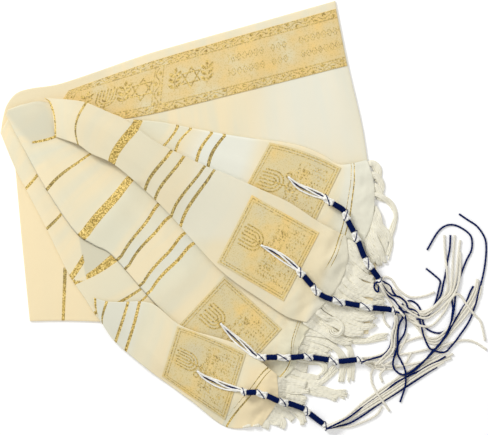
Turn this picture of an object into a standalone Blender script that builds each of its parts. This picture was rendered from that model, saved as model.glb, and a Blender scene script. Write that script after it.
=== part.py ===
"""A small tallit prayer shawl, doubled at its centre, turned over at the left and laid flat.

The cloth is modelled as the stretches that show, laid on each other from the bottom up.
A height map of the pile grows as each piece is laid, and the next piece rests on it with
the gap that separate solids keep. Plan places are given in picture steps, counted to the
right and down, and one step is the cloth's width divided by the steps that it spans.
"""

import math
import random

import bmesh
import bpy
import numpy as np

CLOTH_WIDTH = 0.457
STEPS_ACROSS_CLOTH = 346.0
STEP = CLOTH_WIDTH / STEPS_ACROSS_CLOTH
PLAN_WIDTH, PLAN_DEPTH = 500, 450

GAP = 0.0003
WALL = 0.0015
TRIM_WALL = 0.001
DOUBLED_WALL = 0.0032
EDGE_ROUND = 0.0007
PATCH_CELLS = (6, 6)
HEADING_WIDTH = 0.004
HEADING_THICKNESS = 0.0014
HEADING_START = 0.015
LOCK_SPACING = 0.6
LOCK_TIP_SHARE = 0.55
LOCK_STRAIGHT_LENGTH = 0.006
TIP_STRAY = 2 * STEP
HEAD_LENGTH = 0.005
HEAD_WIDTH = 0.0125
HEAD_TAPER = 0.8
STRAND_STRAIGHT_LENGTH = 0.002
STRAND_SPACING = 0.7
STRAND_THICKNESS = 0.0012
STRAND_SEGMENT = 0.017
CORD_RADIUS = 0.0040
KNOT_RADIUS = 0.0048
LOOP_RADIUS = 0.0016
CORD_SIDES = 6

MAP_CELL = 0.0006
MAP_MARGIN = 20
EDGE_MARGIN = 0.0015

# Each edge runs left to right or upper to lower: the four meet at the stretch's corners.
OUTLINES = {
    "back_panel": {
        "upper": [(1, 132), (3, 119), (7, 105), (16.6, 93.3), (31.5, 88.4), (58, 84.3),
                  (95, 72.3), (130, 60), (163, 49.4), (250, 25), (335, 1)],
        "lower": [(30, 321), (64, 320.5), (100, 321.5), (160, 323), (260, 330), (368, 334)],
        "left": [(1, 132), (9, 150), (15, 167), (17.5, 190), (22, 240), (30, 321)],
        "right": [(335, 1), (348, 66), (360.6, 120), (367, 158), (374, 210), (376, 270), (368, 334)],
    },
    "neckband": {
        "upper": [(69, 90.5), (98, 80), (131, 68.5), (163, 58), (250, 33), (335.5, 9)],
        "lower": [(50, 122), (90, 124), (125, 119), (163, 112), (250, 90.5), (347, 66)],
        "left": [(69, 90.5), (60, 104), (50, 122)],
        "right": [(335.5, 9), (347, 66)],
    },
    "front_low": {
        "upper": [(9, 118), (22, 138), (42, 160), (72, 200), (102, 234), (128, 258), (190, 318)],
        "lower": [(1, 133), (15, 167), (30, 196), (47, 229), (69, 274), (85, 298), (101, 321), (135, 350)],
        "left": [(9, 118), (1, 133)],
        "right": [(190, 318), (162, 338), (135, 350)],
    },
    "front_three": {
        "upper": [(9, 110), (27, 104), (48, 103), (95, 122), (140, 150), (172, 186), (202, 222),
                  (232, 256), (262, 287), (312, 322)],
        "lower": [(7, 116), (25, 150), (47, 190), (75, 231.5), (94, 245), (111.7, 255), (140, 287),
                  (164, 313), (205, 352), (250, 398)],
        "left": [(9, 110), (7, 116)],
        "right": [(312, 322), (300, 345), (290, 372), (250, 398)],
    },
    "front_four": {
        "upper": [(93, 297), (107, 301), (122, 301.6), (141, 301), (156, 305), (177.3, 322.5),
                  (196, 331), (216, 336.5), (236, 343), (250, 352), (277, 374)],
        "lower": [(101, 321), (114, 340), (137, 360), (160, 378), (192, 401), (227, 427), (262, 425)],
        "left": [(93, 297), (96, 309), (101, 321)],
        "right": [(277, 374), (277, 400), (262, 425)],
    },
    "front_one": {
        "upper": [(100, 116), (124, 119), (143, 120.6), (163, 122.5), (191.6, 128), (224, 134),
                  (250, 138), (269.6, 140), (290, 143), (308, 148), (325, 156), (341, 164.5), (367, 160)],
        "lower": [(92, 128), (120, 144), (150, 160), (180, 182), (205, 200), (232, 218), (262, 232),
                  (290, 242), (312, 248), (342, 266)],
        "left": [(100, 116), (92, 128)],
        "right": [(367, 160), (374, 186), (372, 220), (359, 248), (342, 266)],
    },
    "front_two": {
        "upper": [(45, 98.6), (69, 100.4), (86, 103), (99.5, 108.5), (112, 114), (124, 118), (139.5, 128),
                  (158, 139), (185, 154), (206.7, 165), (228.4, 174), (262, 190), (290, 203), (319, 222),
                  (346, 236)],
        "lower": [(56, 137), (79, 145), (92, 154), (115, 165), (145, 190), (170, 214.5), (194, 242),
                  (216, 266), (236.4, 283), (260, 299), (286, 316), (306, 322)],
        "left": [(45, 98.6), (50, 103), (54, 116), (56, 137)],
        "right": [(346, 236), (347, 262), (335, 290), (306, 322)],
    },
}

# Corner squares, from the inner corner on the upper edge, clockwise.
PATCH_CORNERS = {
    "patch_one": [(269.5, 142.5), (341, 168), (308, 236), (234, 208)],
    "patch_two": [(251.7, 195), (319, 232.5), (283.5, 301), (217.3, 262.3)],
    "patch_three": [(224.4, 276), (282, 328.5), (231, 384), (173, 331)],
    "patch_four": [(177.6, 325.5), (246, 353), (225, 420), (162, 376)],
}
PATCH_UPPER_BOW = {"patch_one": 3.0, "patch_two": 0.0, "patch_three": 0.0, "patch_four": 1.5}

# Columns: cells along, cells across, wall, crown height in metres, where the crown ends along.
STRETCHES = {
    "back_panel": (20, 12, DOUBLED_WALL, 0.0012, 1.0),
    "neckband": (24, 3, TRIM_WALL, 0.0, 1.0),
    "front_low": (20, 5, WALL, 0.0015, 0.8),
    "front_three": (25, 10, WALL, 0.0030, 0.8),
    "front_four": (18, 8, WALL, 0.0010, 0.8),
    "front_one": (22, 8, WALL, 0.0010, 0.7),
    "front_two": (28, 8, WALL, 0.0080, 0.95),
}

# Columns: from, to (picture steps), height and half width in metres.
FOLDS = {
    "back_panel": [((240, 110), (262, 40), 0.0010, 0.016), ((322, 24), (352, 130), 0.0012, 0.014)],
    "front_low": [((7, 128), (60, 226), 0.0012, 0.010)],
    "front_three": [((150, 170), (90, 240), 0.0020, 0.014), ((196, 262), (160, 300), 0.0020, 0.012),
                    ((296, 336), (262, 372), 0.0040, 0.010), ((302, 348), (280, 384), 0.0030, 0.008)],
    "front_four": [((120, 306), (150, 360), 0.0015, 0.012), ((254, 366), (246, 420), 0.0045, 0.009),
                   ((268, 378), (262, 416), 0.0035, 0.008)],
    "front_one": [((346, 170), (330, 250), 0.0045, 0.010), ((360, 168), (350, 236), 0.0040, 0.009)],
    "front_two": [((150, 150), (176, 206), 0.0015, 0.014), ((330, 240), (300, 306), 0.0050, 0.010),
                  ((342, 246), (322, 300), 0.0040, 0.009)],
}

# Rows of a rim from the bottom up: how far in from the outline, and the share of the wall's height.
SINGLE_RIM = [(0.0, 0.3), (0.0, 0.7)]
LAYERED_RIM = [(0.0, 0.16), (0.0, 0.36), (0.0012, 0.5), (0.0, 0.64), (0.0, 0.84)]

# Columns: stretch that carries it, share of its right end that shows, locks, tips' line, bow in metres.
FRINGES = {
    "fringe_three": ("front_three", 0.56, 14,
                     [(352, 328), (378, 333), (390, 343), (366, 366), (350, 386)], 0.006),
    "fringe_four": ("front_four", 1.0, 17,
                    [(322, 392), (330, 402), (312, 418), (300, 429), (280, 432), (264, 430)], 0.005),
    "fringe_one": ("front_one", 0.74, 17,
                   [(378, 170), (388, 186), (397, 210), (397, 230), (393, 252)], 0.006),
    "fringe_two": ("front_two", 1.0, 18,
                   [(384, 256), (392, 276), (397, 296), (390, 318), (362, 336), (330, 344)], 0.006),
}

# Columns: kind of each length and its end point, from the eyelet outward.
TZITZIT = {
    "tzitzit_four": [
        ("start", (197.4, 370)), ("loop", (206, 377)), ("loop", (224, 386)), ("loop", (240, 390)),
        ("knot", (246, 390.3)), ("wrap", (256, 391.5)), ("knot", (263, 392)), ("wrap", (276, 398)),
        ("knot", (282, 401)), ("wrap", (301, 408)), ("knot", (307, 411)), ("wrap", (324, 425)),
        ("knot", (329, 428))],
    "tzitzit_three": [
        ("start", (220.5, 323)), ("loop", (232, 335)), ("loop", (246, 347)), ("loop", (258, 356)),
        ("knot", (264, 357)), ("wrap", (279, 356.3)), ("knot", (285, 357)), ("wrap", (302, 356)),
        ("knot", (308, 356)), ("wrap", (327, 359.5)), ("knot", (334, 361)), ("wrap", (356, 360)),
        ("knot", (362, 360))],
    "tzitzit_two": [
        ("start", (260.7, 245)), ("loop", (272, 251)), ("loop", (286, 260)), ("loop", (299, 270)),
        ("knot", (303, 275)), ("wrap", (311, 286)), ("knot", (316, 291)), ("wrap", (331, 299)),
        ("knot", (338, 303)), ("wrap", (359, 304.5)), ("knot", (366, 306)), ("wrap", (389, 309)),
        ("knot", (396, 310))],
    "tzitzit_one": [
        ("start", (288, 177)), ("loop", (298, 186)), ("loop", (311, 192)), ("loop", (325, 197)),
        ("knot", (330, 200.5)), ("wrap", (343, 211)), ("knot", (347, 215)), ("wrap", (355, 231)),
        ("knot", (357.5, 236)), ("wrap", (364, 258)), ("knot", (367, 265)), ("wrap", (377, 277)),
        ("knot", (379, 283))],
}
LENGTH_RADII = {"start": LOOP_RADIUS, "loop": LOOP_RADIUS, "wrap": CORD_RADIUS, "knot": KNOT_RADIUS}

# One row for each loose strand, from the head's left side to its right, as seen from the head.
TASSELS = {
    "tassel_four": [
        [(345, 422), (364, 407), (386, 392), (408, 378), (428, 364), (444, 350)],
        [(346, 424), (366, 410), (388, 395), (410, 381), (430, 367), (447, 352)],
        [(347, 426), (368, 413), (390, 398), (412, 384), (432, 370), (450, 354)],
        [(348, 428), (370, 416), (392, 401), (414, 387), (434, 373), (452, 357)],
        [(350, 430), (372, 419), (394, 404), (416, 390), (436, 376), (453, 361)],
        [(352, 431.5), (374, 422), (396, 407), (416, 394), (434, 381), (450, 366)],
        [(356, 432), (374, 424), (384, 411), (392, 400)],
        [(350, 434), (362, 433), (374, 429)],
    ],
    "tassel_three": [
        [(374, 350), (384, 338), (390, 322), (400, 312), (410, 304), (420, 309), (427, 327), (441, 331),
         (452, 318), (450, 297)],
        [(378, 352), (390, 340), (394, 324), (402, 318), (412, 326), (424, 336)],
        [(382, 354), (396, 346), (414, 342), (432, 344), (450, 340)],
        [(384, 357), (402, 353), (424, 350), (444, 346), (462, 340), (474, 341), (486, 349)],
        [(384, 361), (402, 360), (422, 356), (440, 353)],
        [(382, 365), (398, 368), (416, 364), (430, 360)],
        [(374, 368), (376, 384), (383, 400), (391, 411)],
        [(370, 369), (371, 384), (376, 396), (380, 404)],
    ],
    "tassel_two": [
        [(408, 302), (420, 296), (432, 286), (442, 277)],
        [(412, 306), (428, 302), (440, 290), (446, 268), (447, 250), (446, 238)],
        [(414, 310), (430, 312), (446, 302), (452, 282), (456, 262), (457, 240)],
        [(412, 316), (424, 334), (440, 338), (456, 326), (467, 306), (473, 284)],
        [(410, 319), (420, 338), (438, 344), (458, 332), (471, 311), (478, 287)],
        [(408, 321), (414, 342), (434, 350), (462, 334), (477, 316), (482, 328), (485, 340)],
        [(403, 321), (396, 340), (395, 361), (408, 373.5), (434, 349.5), (451, 326), (458, 279.5), (468, 258),
         (470, 238), (454, 225), (438, 232), (427, 250)],
        [(400, 321), (402, 332), (396, 352), (405, 374), (400, 402)],
    ],
    "tassel_one": [
        [(396, 284), (412, 276), (426, 270)],
        [(398, 288), (418, 288), (436, 276), (444, 256), (450, 236)],
        [(398, 291), (420, 294), (438, 288), (449, 268), (453, 250), (455, 239)],
        [(397, 294), (420, 301), (440, 296), (453, 276), (459, 258), (461, 241)],
        [(395, 297), (408, 310), (419, 324), (430, 350), (449, 351.5), (462, 336), (475, 302), (485, 262),
         (486, 243), (477, 226), (459, 214)],
        [(391, 298), (402, 316), (408, 334), (410, 350), (404, 364)],
        [(386, 299), (391, 318), (394, 336)],
        [(381, 299), (383, 316), (381, 332)],
    ],
}
HEAD_DIRECTION = {"tassel_one": (0.75, 0.66), "tassel_two": (0.98, 0.2), "tassel_three": (0.99, 0.05),
                  "tassel_four": (0.98, -0.1)}

# Columns: colour, roughness.
FINISHES = {
    "cream_cloth": ((0.95, 0.90, 0.78), 0.75),
    "gold_satin": ((0.86, 0.72, 0.42), 0.45),
    "white_fringe": ((0.93, 0.91, 0.86), 0.85),
    "navy_thread": ((0.03, 0.05, 0.20), 0.7),
}


def clear_scene():
    for item in list(bpy.data.objects):
        bpy.data.objects.remove(item, do_unlink=True)


def plan(points):
    """Picture steps to metres on the plan, with up in the picture as +Y."""
    steps = np.asarray(points, float)
    return np.column_stack([steps[:, 0] - PLAN_WIDTH / 2, PLAN_DEPTH / 2 - steps[:, 1]]) * STEP


def smooth_through(points, per_span=12):
    """Points of a Catmull-Rom curve through the given ones."""
    if len(points) < 3:
        return np.asarray(points, float)
    held = np.vstack([2 * points[0] - points[1], points, 2 * points[-1] - points[-2]])
    share = np.linspace(0, 1, per_span, endpoint=False)[:, None]
    spans = []
    for before, start, end, after in zip(held, held[1:], held[2:], held[3:]):
        spans.append(0.5 * (2 * start + (end - before) * share
                            + (2 * before - 5 * start + 4 * end - after) * share**2
                            + (3 * start - before - 3 * end + after) * share**3))
    return np.vstack([*spans, points[-1:]])


class Rail:
    """A smooth plan curve, read by its share of length."""

    def __init__(self, points):
        self.points = smooth_through(plan(points))
        steps = np.linalg.norm(np.diff(self.points, axis=0), axis=1)
        self.along = np.concatenate([[0], np.cumsum(steps)])
        self.length = self.along[-1]

    def at(self, share):
        where = np.clip(share, 0, 1) * self.length
        return np.stack([np.interp(where, self.along, self.points[:, k]) for k in (0, 1)], axis=-1)


class Outline:
    """Four rails round a stretch of cloth, and the plan surface blended between them."""

    def __init__(self, edges):
        self.upper, self.lower = Rail(edges["upper"]), Rail(edges["lower"])
        self.left, self.right = Rail(edges["left"]), Rail(edges["right"])
        self.size_along = min(self.upper.length, self.lower.length)
        self.size_across = min(self.left.length, self.right.length)

    def at(self, along, across):
        s, t = along[..., None], across[..., None]
        corner = {(i, j): edge.at(np.array(float(i)))
                  for (i, j), edge in {(0, 0): self.upper, (1, 0): self.upper,
                                       (0, 1): self.lower, (1, 1): self.lower}.items()}
        ruled = (1 - t) * self.upper.at(along) + t * self.lower.at(along)
        ends = (1 - s) * self.left.at(across) + s * self.right.at(across)
        flat = ((1 - s) * (1 - t) * corner[0, 0] + s * (1 - t) * corner[1, 0]
                + (1 - s) * t * corner[0, 1] + s * t * corner[1, 1])
        return ruled + ends - flat

    def grid(self, cells_along, cells_across, inset):
        """Plan points of a grid whose border lies this far inside the outline."""
        trim_s, trim_t = inset / self.size_along, inset / self.size_across
        s = np.linspace(trim_s, 1 - trim_s, cells_along + 1)
        t = np.linspace(trim_t, 1 - trim_t, cells_across + 1)
        return self.at(*np.meshgrid(s, t, indexing="ij"))


class Pile:
    """The height of the top of all that is laid so far, on a square map of the plan."""

    def __init__(self):
        self.low = plan([(-MAP_MARGIN, PLAN_DEPTH + MAP_MARGIN)])[0]
        high = plan([(PLAN_WIDTH + MAP_MARGIN, -MAP_MARGIN)])[0]
        shape = np.ceil((high - self.low) / MAP_CELL).astype(int) + 1
        self.top = np.zeros(shape)

    def cells(self, xy):
        index = np.round((xy - self.low) / MAP_CELL).astype(int)
        index = np.clip(index, 0, np.array(self.top.shape) - 1)
        return index[..., 0], index[..., 1]

    def lay(self, points, triangles):
        """Raises the map under these triangles."""
        corners = points[triangles]
        flat = np.ptp(corners[:, :, :2], axis=1).max(axis=1)
        counts = np.ceil(flat / (0.7 * MAP_CELL)).astype(int) + 1
        for count in np.unique(counts):
            chosen = corners[counts == count]
            i, j = np.meshgrid(np.arange(count + 1), np.arange(count + 1), indexing="ij")
            keep = i + j <= count
            a, b = i[keep] / count, j[keep] / count
            weights = np.stack([1 - a - b, a, b], axis=1)
            samples = np.einsum("kc,ncd->nkd", weights, chosen).reshape(-1, 3)
            x, y = self.cells(samples[:, :2])
            np.maximum.at(self.top, (x, y), samples[:, 2])

    def spread(self, reach):
        """The map with each place raised to the highest within this reach, then eased."""
        cells = int(math.ceil(reach / MAP_CELL)) + 1
        ease = max(2, cells // 2)
        high = self.top
        for axis in (0, 1):
            high = running_max(high, cells + ease, axis)
        for axis in (0, 1):
            high = running_mean(high, ease, axis)
        return high

    def rest(self, grid, reach):
        """Heights on which a sheet with these plan points lies."""
        x, y = self.cells(grid)
        under = self.spread(reach)[x, y]
        return np.where(under > 1e-6, under + GAP, 0.0)

    def under(self, start, end, half_width):
        """The highest place beneath a straight band."""
        run = end - start
        length = max(np.linalg.norm(run), 1e-9)
        side = np.array([-run[1], run[0]]) / length
        overrun = min(half_width, EDGE_MARGIN) / length
        s = np.linspace(-overrun, 1 + overrun, int(length / MAP_CELL) + 3)
        reach = half_width + MAP_CELL
        t = np.linspace(-reach, reach, int(2 * reach / MAP_CELL) + 2)
        spots = start + s[:, None, None] * run + t[None, :, None] * side
        x, y = self.cells(spots)
        return self.top[x, y].max()


def running_max(values, cells, axis):
    """The highest value within this many cells either way along an axis, by doubled windows."""
    width = 2 * cells + 1
    padding = [(0, 0), (0, 0)]
    padding[axis] = (cells, cells)
    held = np.moveaxis(np.pad(values, padding), axis, 0)
    window = 1
    while 2 * window <= width:
        held = np.maximum(held[:-window], held[window:])
        window *= 2
    rest = width - window
    if rest:
        held = np.maximum(held[:-rest], held[rest:])
    return np.moveaxis(held, 0, axis)


def running_mean(values, cells, axis):
    padding = [(0, 0), (0, 0)]
    padding[axis] = (cells + 1, cells)
    total = np.cumsum(np.moveaxis(np.pad(values, padding, mode="edge"), axis, 0), axis=0)
    width = 2 * cells + 1
    return np.moveaxis((total[width:] - total[:-width]) / width, 0, axis)


def perimeter(along, across):
    """Grid indices round the border, once."""
    first = [(i, 0) for i in range(along)]
    second = [(along, j) for j in range(across)]
    third = [(i, across) for i in range(along, 0, -1)]
    fourth = [(0, j) for j in range(across, 0, -1)]
    return np.array(first + second + third + fourth)


def fold_height(xy, folds):
    """Ridges of soft folds: highest at the middle of each fold, falling off to its sides and ends."""
    raised = np.zeros(xy.shape[:-1])
    for start, end, height, half_width in folds:
        low, high = plan([start])[0], plan([end])[0]
        run = high - low
        share = np.clip(((xy - low) @ run) / (run @ run), 0, 1)
        away = np.linalg.norm(xy - (low + share[..., None] * run), axis=-1)
        raised += height * (0.35 + 0.65 * np.sin(math.pi * share)) * np.exp(-((away / half_width) ** 2))
    return raised


def crown_height(along, across, height, end):
    """A rounded back: full between the long edges, and fading towards the free end."""
    round_across = np.sqrt(np.clip(4 * across * (1 - across), 0, 1))
    fade = np.clip((end - along) / max(end, 1e-6), 0, 1) ** 0.7
    start = np.clip(along / 0.06, 0, 1)
    return height * round_across * fade * start


def cloth_body(outline, cells, wall, crown, crown_end, folds, pile, rim, flat_base=False):
    """Points and triangles of a closed wall of cloth that rests on the pile."""
    along, across = cells
    inner = outline.grid(along, across, EDGE_ROUND)
    s, t = np.meshgrid(np.linspace(0, 1, along + 1), np.linspace(0, 1, across + 1), indexing="ij")
    if flat_base:
        base = np.zeros(s.shape)
        top = base + wall + fold_height(inner, folds) + crown_height(s, t, crown, crown_end)
    else:
        edges = [np.diff(inner, axis=0), np.diff(inner, axis=1), inner[1:, 1:] - inner[:-1, :-1],
                 inner[1:, :-1] - inner[:-1, 1:]]
        reach = max(np.abs(edge).max() for edge in edges) + EDGE_ROUND
        base = pile.rest(inner, reach) + fold_height(inner, folds)
        top = base + wall + crown_height(s, t, crown, crown_end)
    border = perimeter(along, across)
    count = (along + 1) * (across + 1)
    index = np.arange(count).reshape(along + 1, across + 1)
    lower = np.dstack([inner, base]).reshape(-1, 3)
    upper = np.dstack([inner, top]).reshape(-1, 3)
    rings = [index[border[:, 0], border[:, 1]]]
    points = [lower, upper]
    used = 2 * count
    base_edge, top_edge = base[border[:, 0], border[:, 1]], top[border[:, 0], border[:, 1]]
    for inset, share in rim:
        ring_xy = outline.grid(along, across, inset)[border[:, 0], border[:, 1]]
        points.append(np.column_stack([ring_xy, base_edge + share * (top_edge - base_edge)]))
        rings.append(used + np.arange(len(border)))
        used += len(border)
    rings.append(rings[0] + count)
    a, b = index[:-1, :-1].ravel(), index[1:, :-1].ravel()
    c, d = index[1:, 1:].ravel(), index[:-1, 1:].ravel()
    triangles = [np.stack([a, b, d], 1), np.stack([b, c, d], 1),
                 np.stack([a, d, b], 1) + count, np.stack([b, d, c], 1) + count]
    for low, high in zip(rings, rings[1:]):
        low_next, high_next = np.roll(low, -1), np.roll(high, -1)
        triangles += [np.stack([low, high, low_next], 1), np.stack([high, high_next, low_next], 1)]
    return np.vstack(points), np.vstack(triangles)


def patch_outline(corners, bow):
    """A square patch whose upper edge bows outward by this many steps."""
    first, second, third, fourth = (np.array(corner, float) for corner in corners)
    edge = second - first
    out = np.array([edge[1], -edge[0]]) / np.linalg.norm(edge)
    quarter, three = (first + share * edge + 0.75 * bow * out for share in (0.25, 0.75))
    middle = (first + second) / 2 + bow * out
    return Outline({"upper": [first, quarter, middle, three, second], "lower": [fourth, third],
                    "left": [first, fourth], "right": [second, third]})


class Body:
    """Points and faces of one closed mesh as it is put together."""

    def __init__(self):
        self.points, self.faces = [], []

    def add(self, points):
        start = len(self.points)
        self.points.extend(tuple(map(float, point)) for point in points)
        return list(range(start, len(self.points)))

    def join(self, low, high):
        """Quads between two rings of points."""
        for k in range(len(low)):
            n = (k + 1) % len(low)
            self.faces.append((low[k], low[n], high[n], high[k]))

    def triangles(self):
        out = []
        for face in self.faces:
            out.extend((face[0], face[k], face[k + 1]) for k in range(1, len(face) - 1))
        return np.array(self.points), np.array(out)


def side_vectors(path):
    """Unit vectors to the left of a plan path, at each of its points."""
    ahead = np.gradient(path, axis=0)
    ahead /= np.linalg.norm(ahead, axis=1)[:, None]
    return np.column_stack([-ahead[:, 1], ahead[:, 0]])


def resample(points, spacing, least):
    """A plan path through the points, at even spacing."""
    curve = smooth_through(points)
    steps = np.linalg.norm(np.diff(curve, axis=0), axis=1)
    along = np.concatenate([[0], np.cumsum(steps)])
    count = max(least, int(round(along[-1] / spacing)))
    where = np.linspace(0, along[-1], count + 1)
    return np.stack([np.interp(where, along, curve[:, k]) for k in (0, 1)], axis=1)


def grow_strand(body, root, path, width, tip_share, thickness, pile):
    """Adds one four-sided strand from its root quad along the path, laid over the pile.

    Its first length stays off the map, because there the strands lie side by side in order.
    """
    sides = side_vectors(path)
    count = len(path) - 1
    half = 0.5 * width * (1 - (1 - tip_share) * np.linspace(0, 1, count + 1) ** 2)
    rings = [root]
    ring_points = [np.array([body.points[k] for k in root])]
    beneath = pile.under(path[0] + 0.15 * (path[1] - path[0]), path[1], half[0])
    for k in range(1, count + 1):
        ahead = pile.under(path[k], path[min(k + 1, count)], half[k])
        height = max(beneath, ahead) + GAP
        beneath = ahead
        left, right = path[k] + half[k] * sides[k], path[k] - half[k] * sides[k]
        top = height + thickness
        ring = np.array([[*left, height], [*right, height], [*right, top], [*left, top]])
        rings.append(body.add(ring))
        ring_points.append(ring)
        if k > 3:
            lay_band(pile, ring_points[k - 3], ring_points[k - 2])
    for k in range(max(count - 2, 1), count):
        lay_band(pile, ring_points[k], ring_points[k + 1])
    for low, high in zip(rings, rings[1:]):
        body.join(low, high)
    body.faces.append(tuple(rings[-1]))


def lay_band(pile, start, end):
    """Raises the map under the top of one length of strand."""
    points = np.vstack([start[2:], end[2:]])
    pile.lay(points, np.array([[0, 1, 2], [0, 2, 3], [1, 2, 3], [0, 1, 3]]))


def heading_and_strands(inner, outer, base, thickness, strands, order, tip_share, pile):
    """A heading strip whose outer side grows a strand from every second cell."""
    body = Body()
    low_in = body.add(np.column_stack([inner, base]))
    low_out = body.add(np.column_stack([outer, base]))
    high_out = body.add(np.column_stack([outer, base + thickness]))
    high_in = body.add(np.column_stack([inner, base + thickness]))
    for k in range(len(inner) - 1):
        body.faces.append((low_in[k], low_in[k + 1], low_out[k + 1], low_out[k]))
        body.faces.append((high_in[k], high_out[k], high_out[k + 1], high_in[k + 1]))
        body.faces.append((low_in[k], high_in[k], high_in[k + 1], low_in[k + 1]))
        if k % 2 == 0:
            body.faces.append((low_out[k], low_out[k + 1], high_out[k + 1], high_out[k]))
    body.faces.append((low_in[0], low_out[0], high_out[0], high_in[0]))
    body.faces.append((low_in[-1], high_in[-1], high_out[-1], low_out[-1]))
    for number in order:
        route = strands[number]
        k = 2 * number + 1
        middle = (outer[k] + outer[k + 1]) / 2
        width = np.linalg.norm(outer[k + 1] - outer[k])
        path = np.vstack([middle, route])
        root = [low_out[k], low_out[k + 1], high_out[k + 1], high_out[k]]
        grow_strand(body, root, path, width, tip_share, thickness, pile)
    return body.triangles()


def cell_shares(count, spacing):
    """Shares of a strip's length at its cell edges: narrow gaps and wider strand cells in turn."""
    lengths = [spacing] + [1.0, spacing] * count
    return np.concatenate([[0], np.cumsum(lengths)]) / sum(lengths)


def strip_base(pile, inner, outer):
    """Heights under a strip's cell edges."""
    heights = [pile.under(a, b, EDGE_MARGIN) for a, b in zip(inner, outer)]
    between = [pile.under((inner[k] + inner[k + 1]) / 2, (outer[k] + outer[k + 1]) / 2,
                          np.linalg.norm(outer[k + 1] - outer[k]) / 2) for k in range(len(inner) - 1)]
    base = np.array(heights)
    base[:-1] = np.maximum(base[:-1], between)
    base[1:] = np.maximum(base[1:], between)
    return base + GAP


def fringe_body(name, pile):
    stretch, shown, count, tips, bow = FRINGES[name]
    chance = random.Random(name)
    edge = Rail(OUTLINES[stretch]["right"])
    shares = HEADING_START + (1 - 2 * HEADING_START) * shown * cell_shares(count, LOCK_SPACING)
    roots = edge.at(shares)
    outward = side_vectors(roots)
    centre = Rail(OUTLINES[stretch]["upper"]).at(np.array(0.8))
    if ((roots - centre) * outward).sum() < 0:
        outward = -outward
    inner = roots + (EDGE_ROUND + GAP) * outward
    outer = inner + HEADING_WIDTH * outward
    base = strip_base(pile, inner, outer)
    tip_line = Rail(tips)
    routes = []
    for number in range(count):
        k = 2 * number + 1
        start = (outer[k] + outer[k + 1]) / 2
        out = outward[k]
        share = np.clip((number + 0.5) / count + chance.uniform(-0.02, 0.02), 0, 1)
        stray = np.array([chance.uniform(-1, 1), chance.uniform(-1, 1)]) * TIP_STRAY
        tip = tip_line.at(np.array(share)) + stray
        run = tip - start
        side = np.array([-run[1], run[0]]) / np.linalg.norm(run)
        bend = bow * math.sin(0.35 * number + 2.2 * (number % 2))
        middle = start + 0.5 * run + side * bend
        near = start + out * min(LOCK_STRAIGHT_LENGTH, 0.3 * np.linalg.norm(run))
        routes.append(resample(np.array([near, middle, tip]), STRAND_SEGMENT, 2))
    order = [*range(0, count, 2), *range(1, count, 2)]
    points, triangles = heading_and_strands(inner, outer, base, HEADING_THICKNESS, routes, order,
                                            LOCK_TIP_SHARE, pile)
    pile.lay(points, triangles)
    return points, triangles


def tassel_body(name, pile):
    cord = TZITZIT[name.replace("tassel", "tzitzit")]
    end = plan([cord[-1][1]])[0]
    direction = np.array(HEAD_DIRECTION[name]) * (1, -1)
    direction /= np.linalg.norm(direction)
    left = np.array([-direction[1], direction[0]])
    strands = TASSELS[name]
    shares = cell_shares(len(strands), STRAND_SPACING)
    front = end + direction * (KNOT_RADIUS * 0.35 + GAP)
    inner = front + (0.5 - shares)[:, None] * HEAD_WIDTH * HEAD_TAPER * left
    outer = front + direction * HEAD_LENGTH + (0.5 - shares)[:, None] * HEAD_WIDTH * left
    base = np.full(len(inner), strip_base(pile, inner, outer).max())
    routes = []
    for number, row in enumerate(strands):
        k = 2 * number + 1
        start = (outer[k] + outer[k + 1]) / 2 + STRAND_STRAIGHT_LENGTH * direction
        routes.append(resample(np.vstack([start, plan(row)]), STRAND_SEGMENT, 3))
    points, triangles = heading_and_strands(inner, outer, base, STRAND_THICKNESS, routes,
                                            range(len(routes)), 1.0, pile)
    pile.lay(points, triangles)
    return points, triangles


def cord_body(name, pile):
    """The doubled strand from the eyelet, then knots and wound lengths, as one tube of changing radius."""
    rows = TZITZIT[name]
    spots = plan([place for _, place in rows])
    path, radii = [spots[0]], [LOOP_RADIUS]
    for (kind, _), start, end in zip(rows[1:], spots, spots[1:]):
        radius = LENGTH_RADII[kind]
        shares = {"loop": [0.5, 1.0], "knot": [0.5], "wrap": [0.2, 0.85]}[kind]
        for share in shares:
            path.append(start + share * (end - start))
            radii.append(radius)
    path.append(spots[-1])
    radii.append(LOOP_RADIUS)
    path, radii = np.array(path), np.array(radii)
    sides = side_vectors(path)
    spans = [pile.under(path[k], path[k + 1], max(radii[k], radii[k + 1])) for k in range(len(path) - 1)]
    under = np.maximum([spans[0], *spans], [*spans, spans[-1]])
    centre = under + GAP + np.maximum(radii, KNOT_RADIUS * 0.8 * (radii > LOOP_RADIUS))
    turns = np.arange(CORD_SIDES) * 2 * math.pi / CORD_SIDES
    body = Body()
    rings = []
    for spot, side, height, radius in zip(path, sides, centre, radii):
        across = spot + (radius * np.cos(turns))[:, None] * side
        rings.append(body.add(np.column_stack([across, height + radius * np.sin(turns)])))
    for low, high in zip(rings, rings[1:]):
        body.join(low, high)
    body.faces.append(tuple(rings[0]))
    body.faces.append(tuple(reversed(rings[-1])))
    points, triangles = body.triangles()
    pile.lay(points, triangles)
    return points, triangles


def finish(name):
    colour, roughness = FINISHES[name]
    found = bpy.data.materials.get(name) or bpy.data.materials.new(name)
    found.use_nodes = True
    shader = found.node_tree.nodes["Principled BSDF"]
    shader.inputs["Base Color"].default_value = (*colour, 1.0)
    shader.inputs["Roughness"].default_value = roughness
    shader.inputs["Metallic"].default_value = 0.0
    return found


def make_object(name, points, triangles, material, parts):
    mesh = bpy.data.meshes.new(name)
    mesh.from_pydata(points.tolist(), [], triangles.tolist())
    shape = bmesh.new()
    shape.from_mesh(mesh)
    bmesh.ops.recalc_face_normals(shape, faces=shape.faces)
    shape.to_mesh(mesh)
    shape.free()
    mesh.materials.append(finish(material))
    item = bpy.data.objects.new(name, mesh)
    parts.objects.link(item)
    return item


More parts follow.
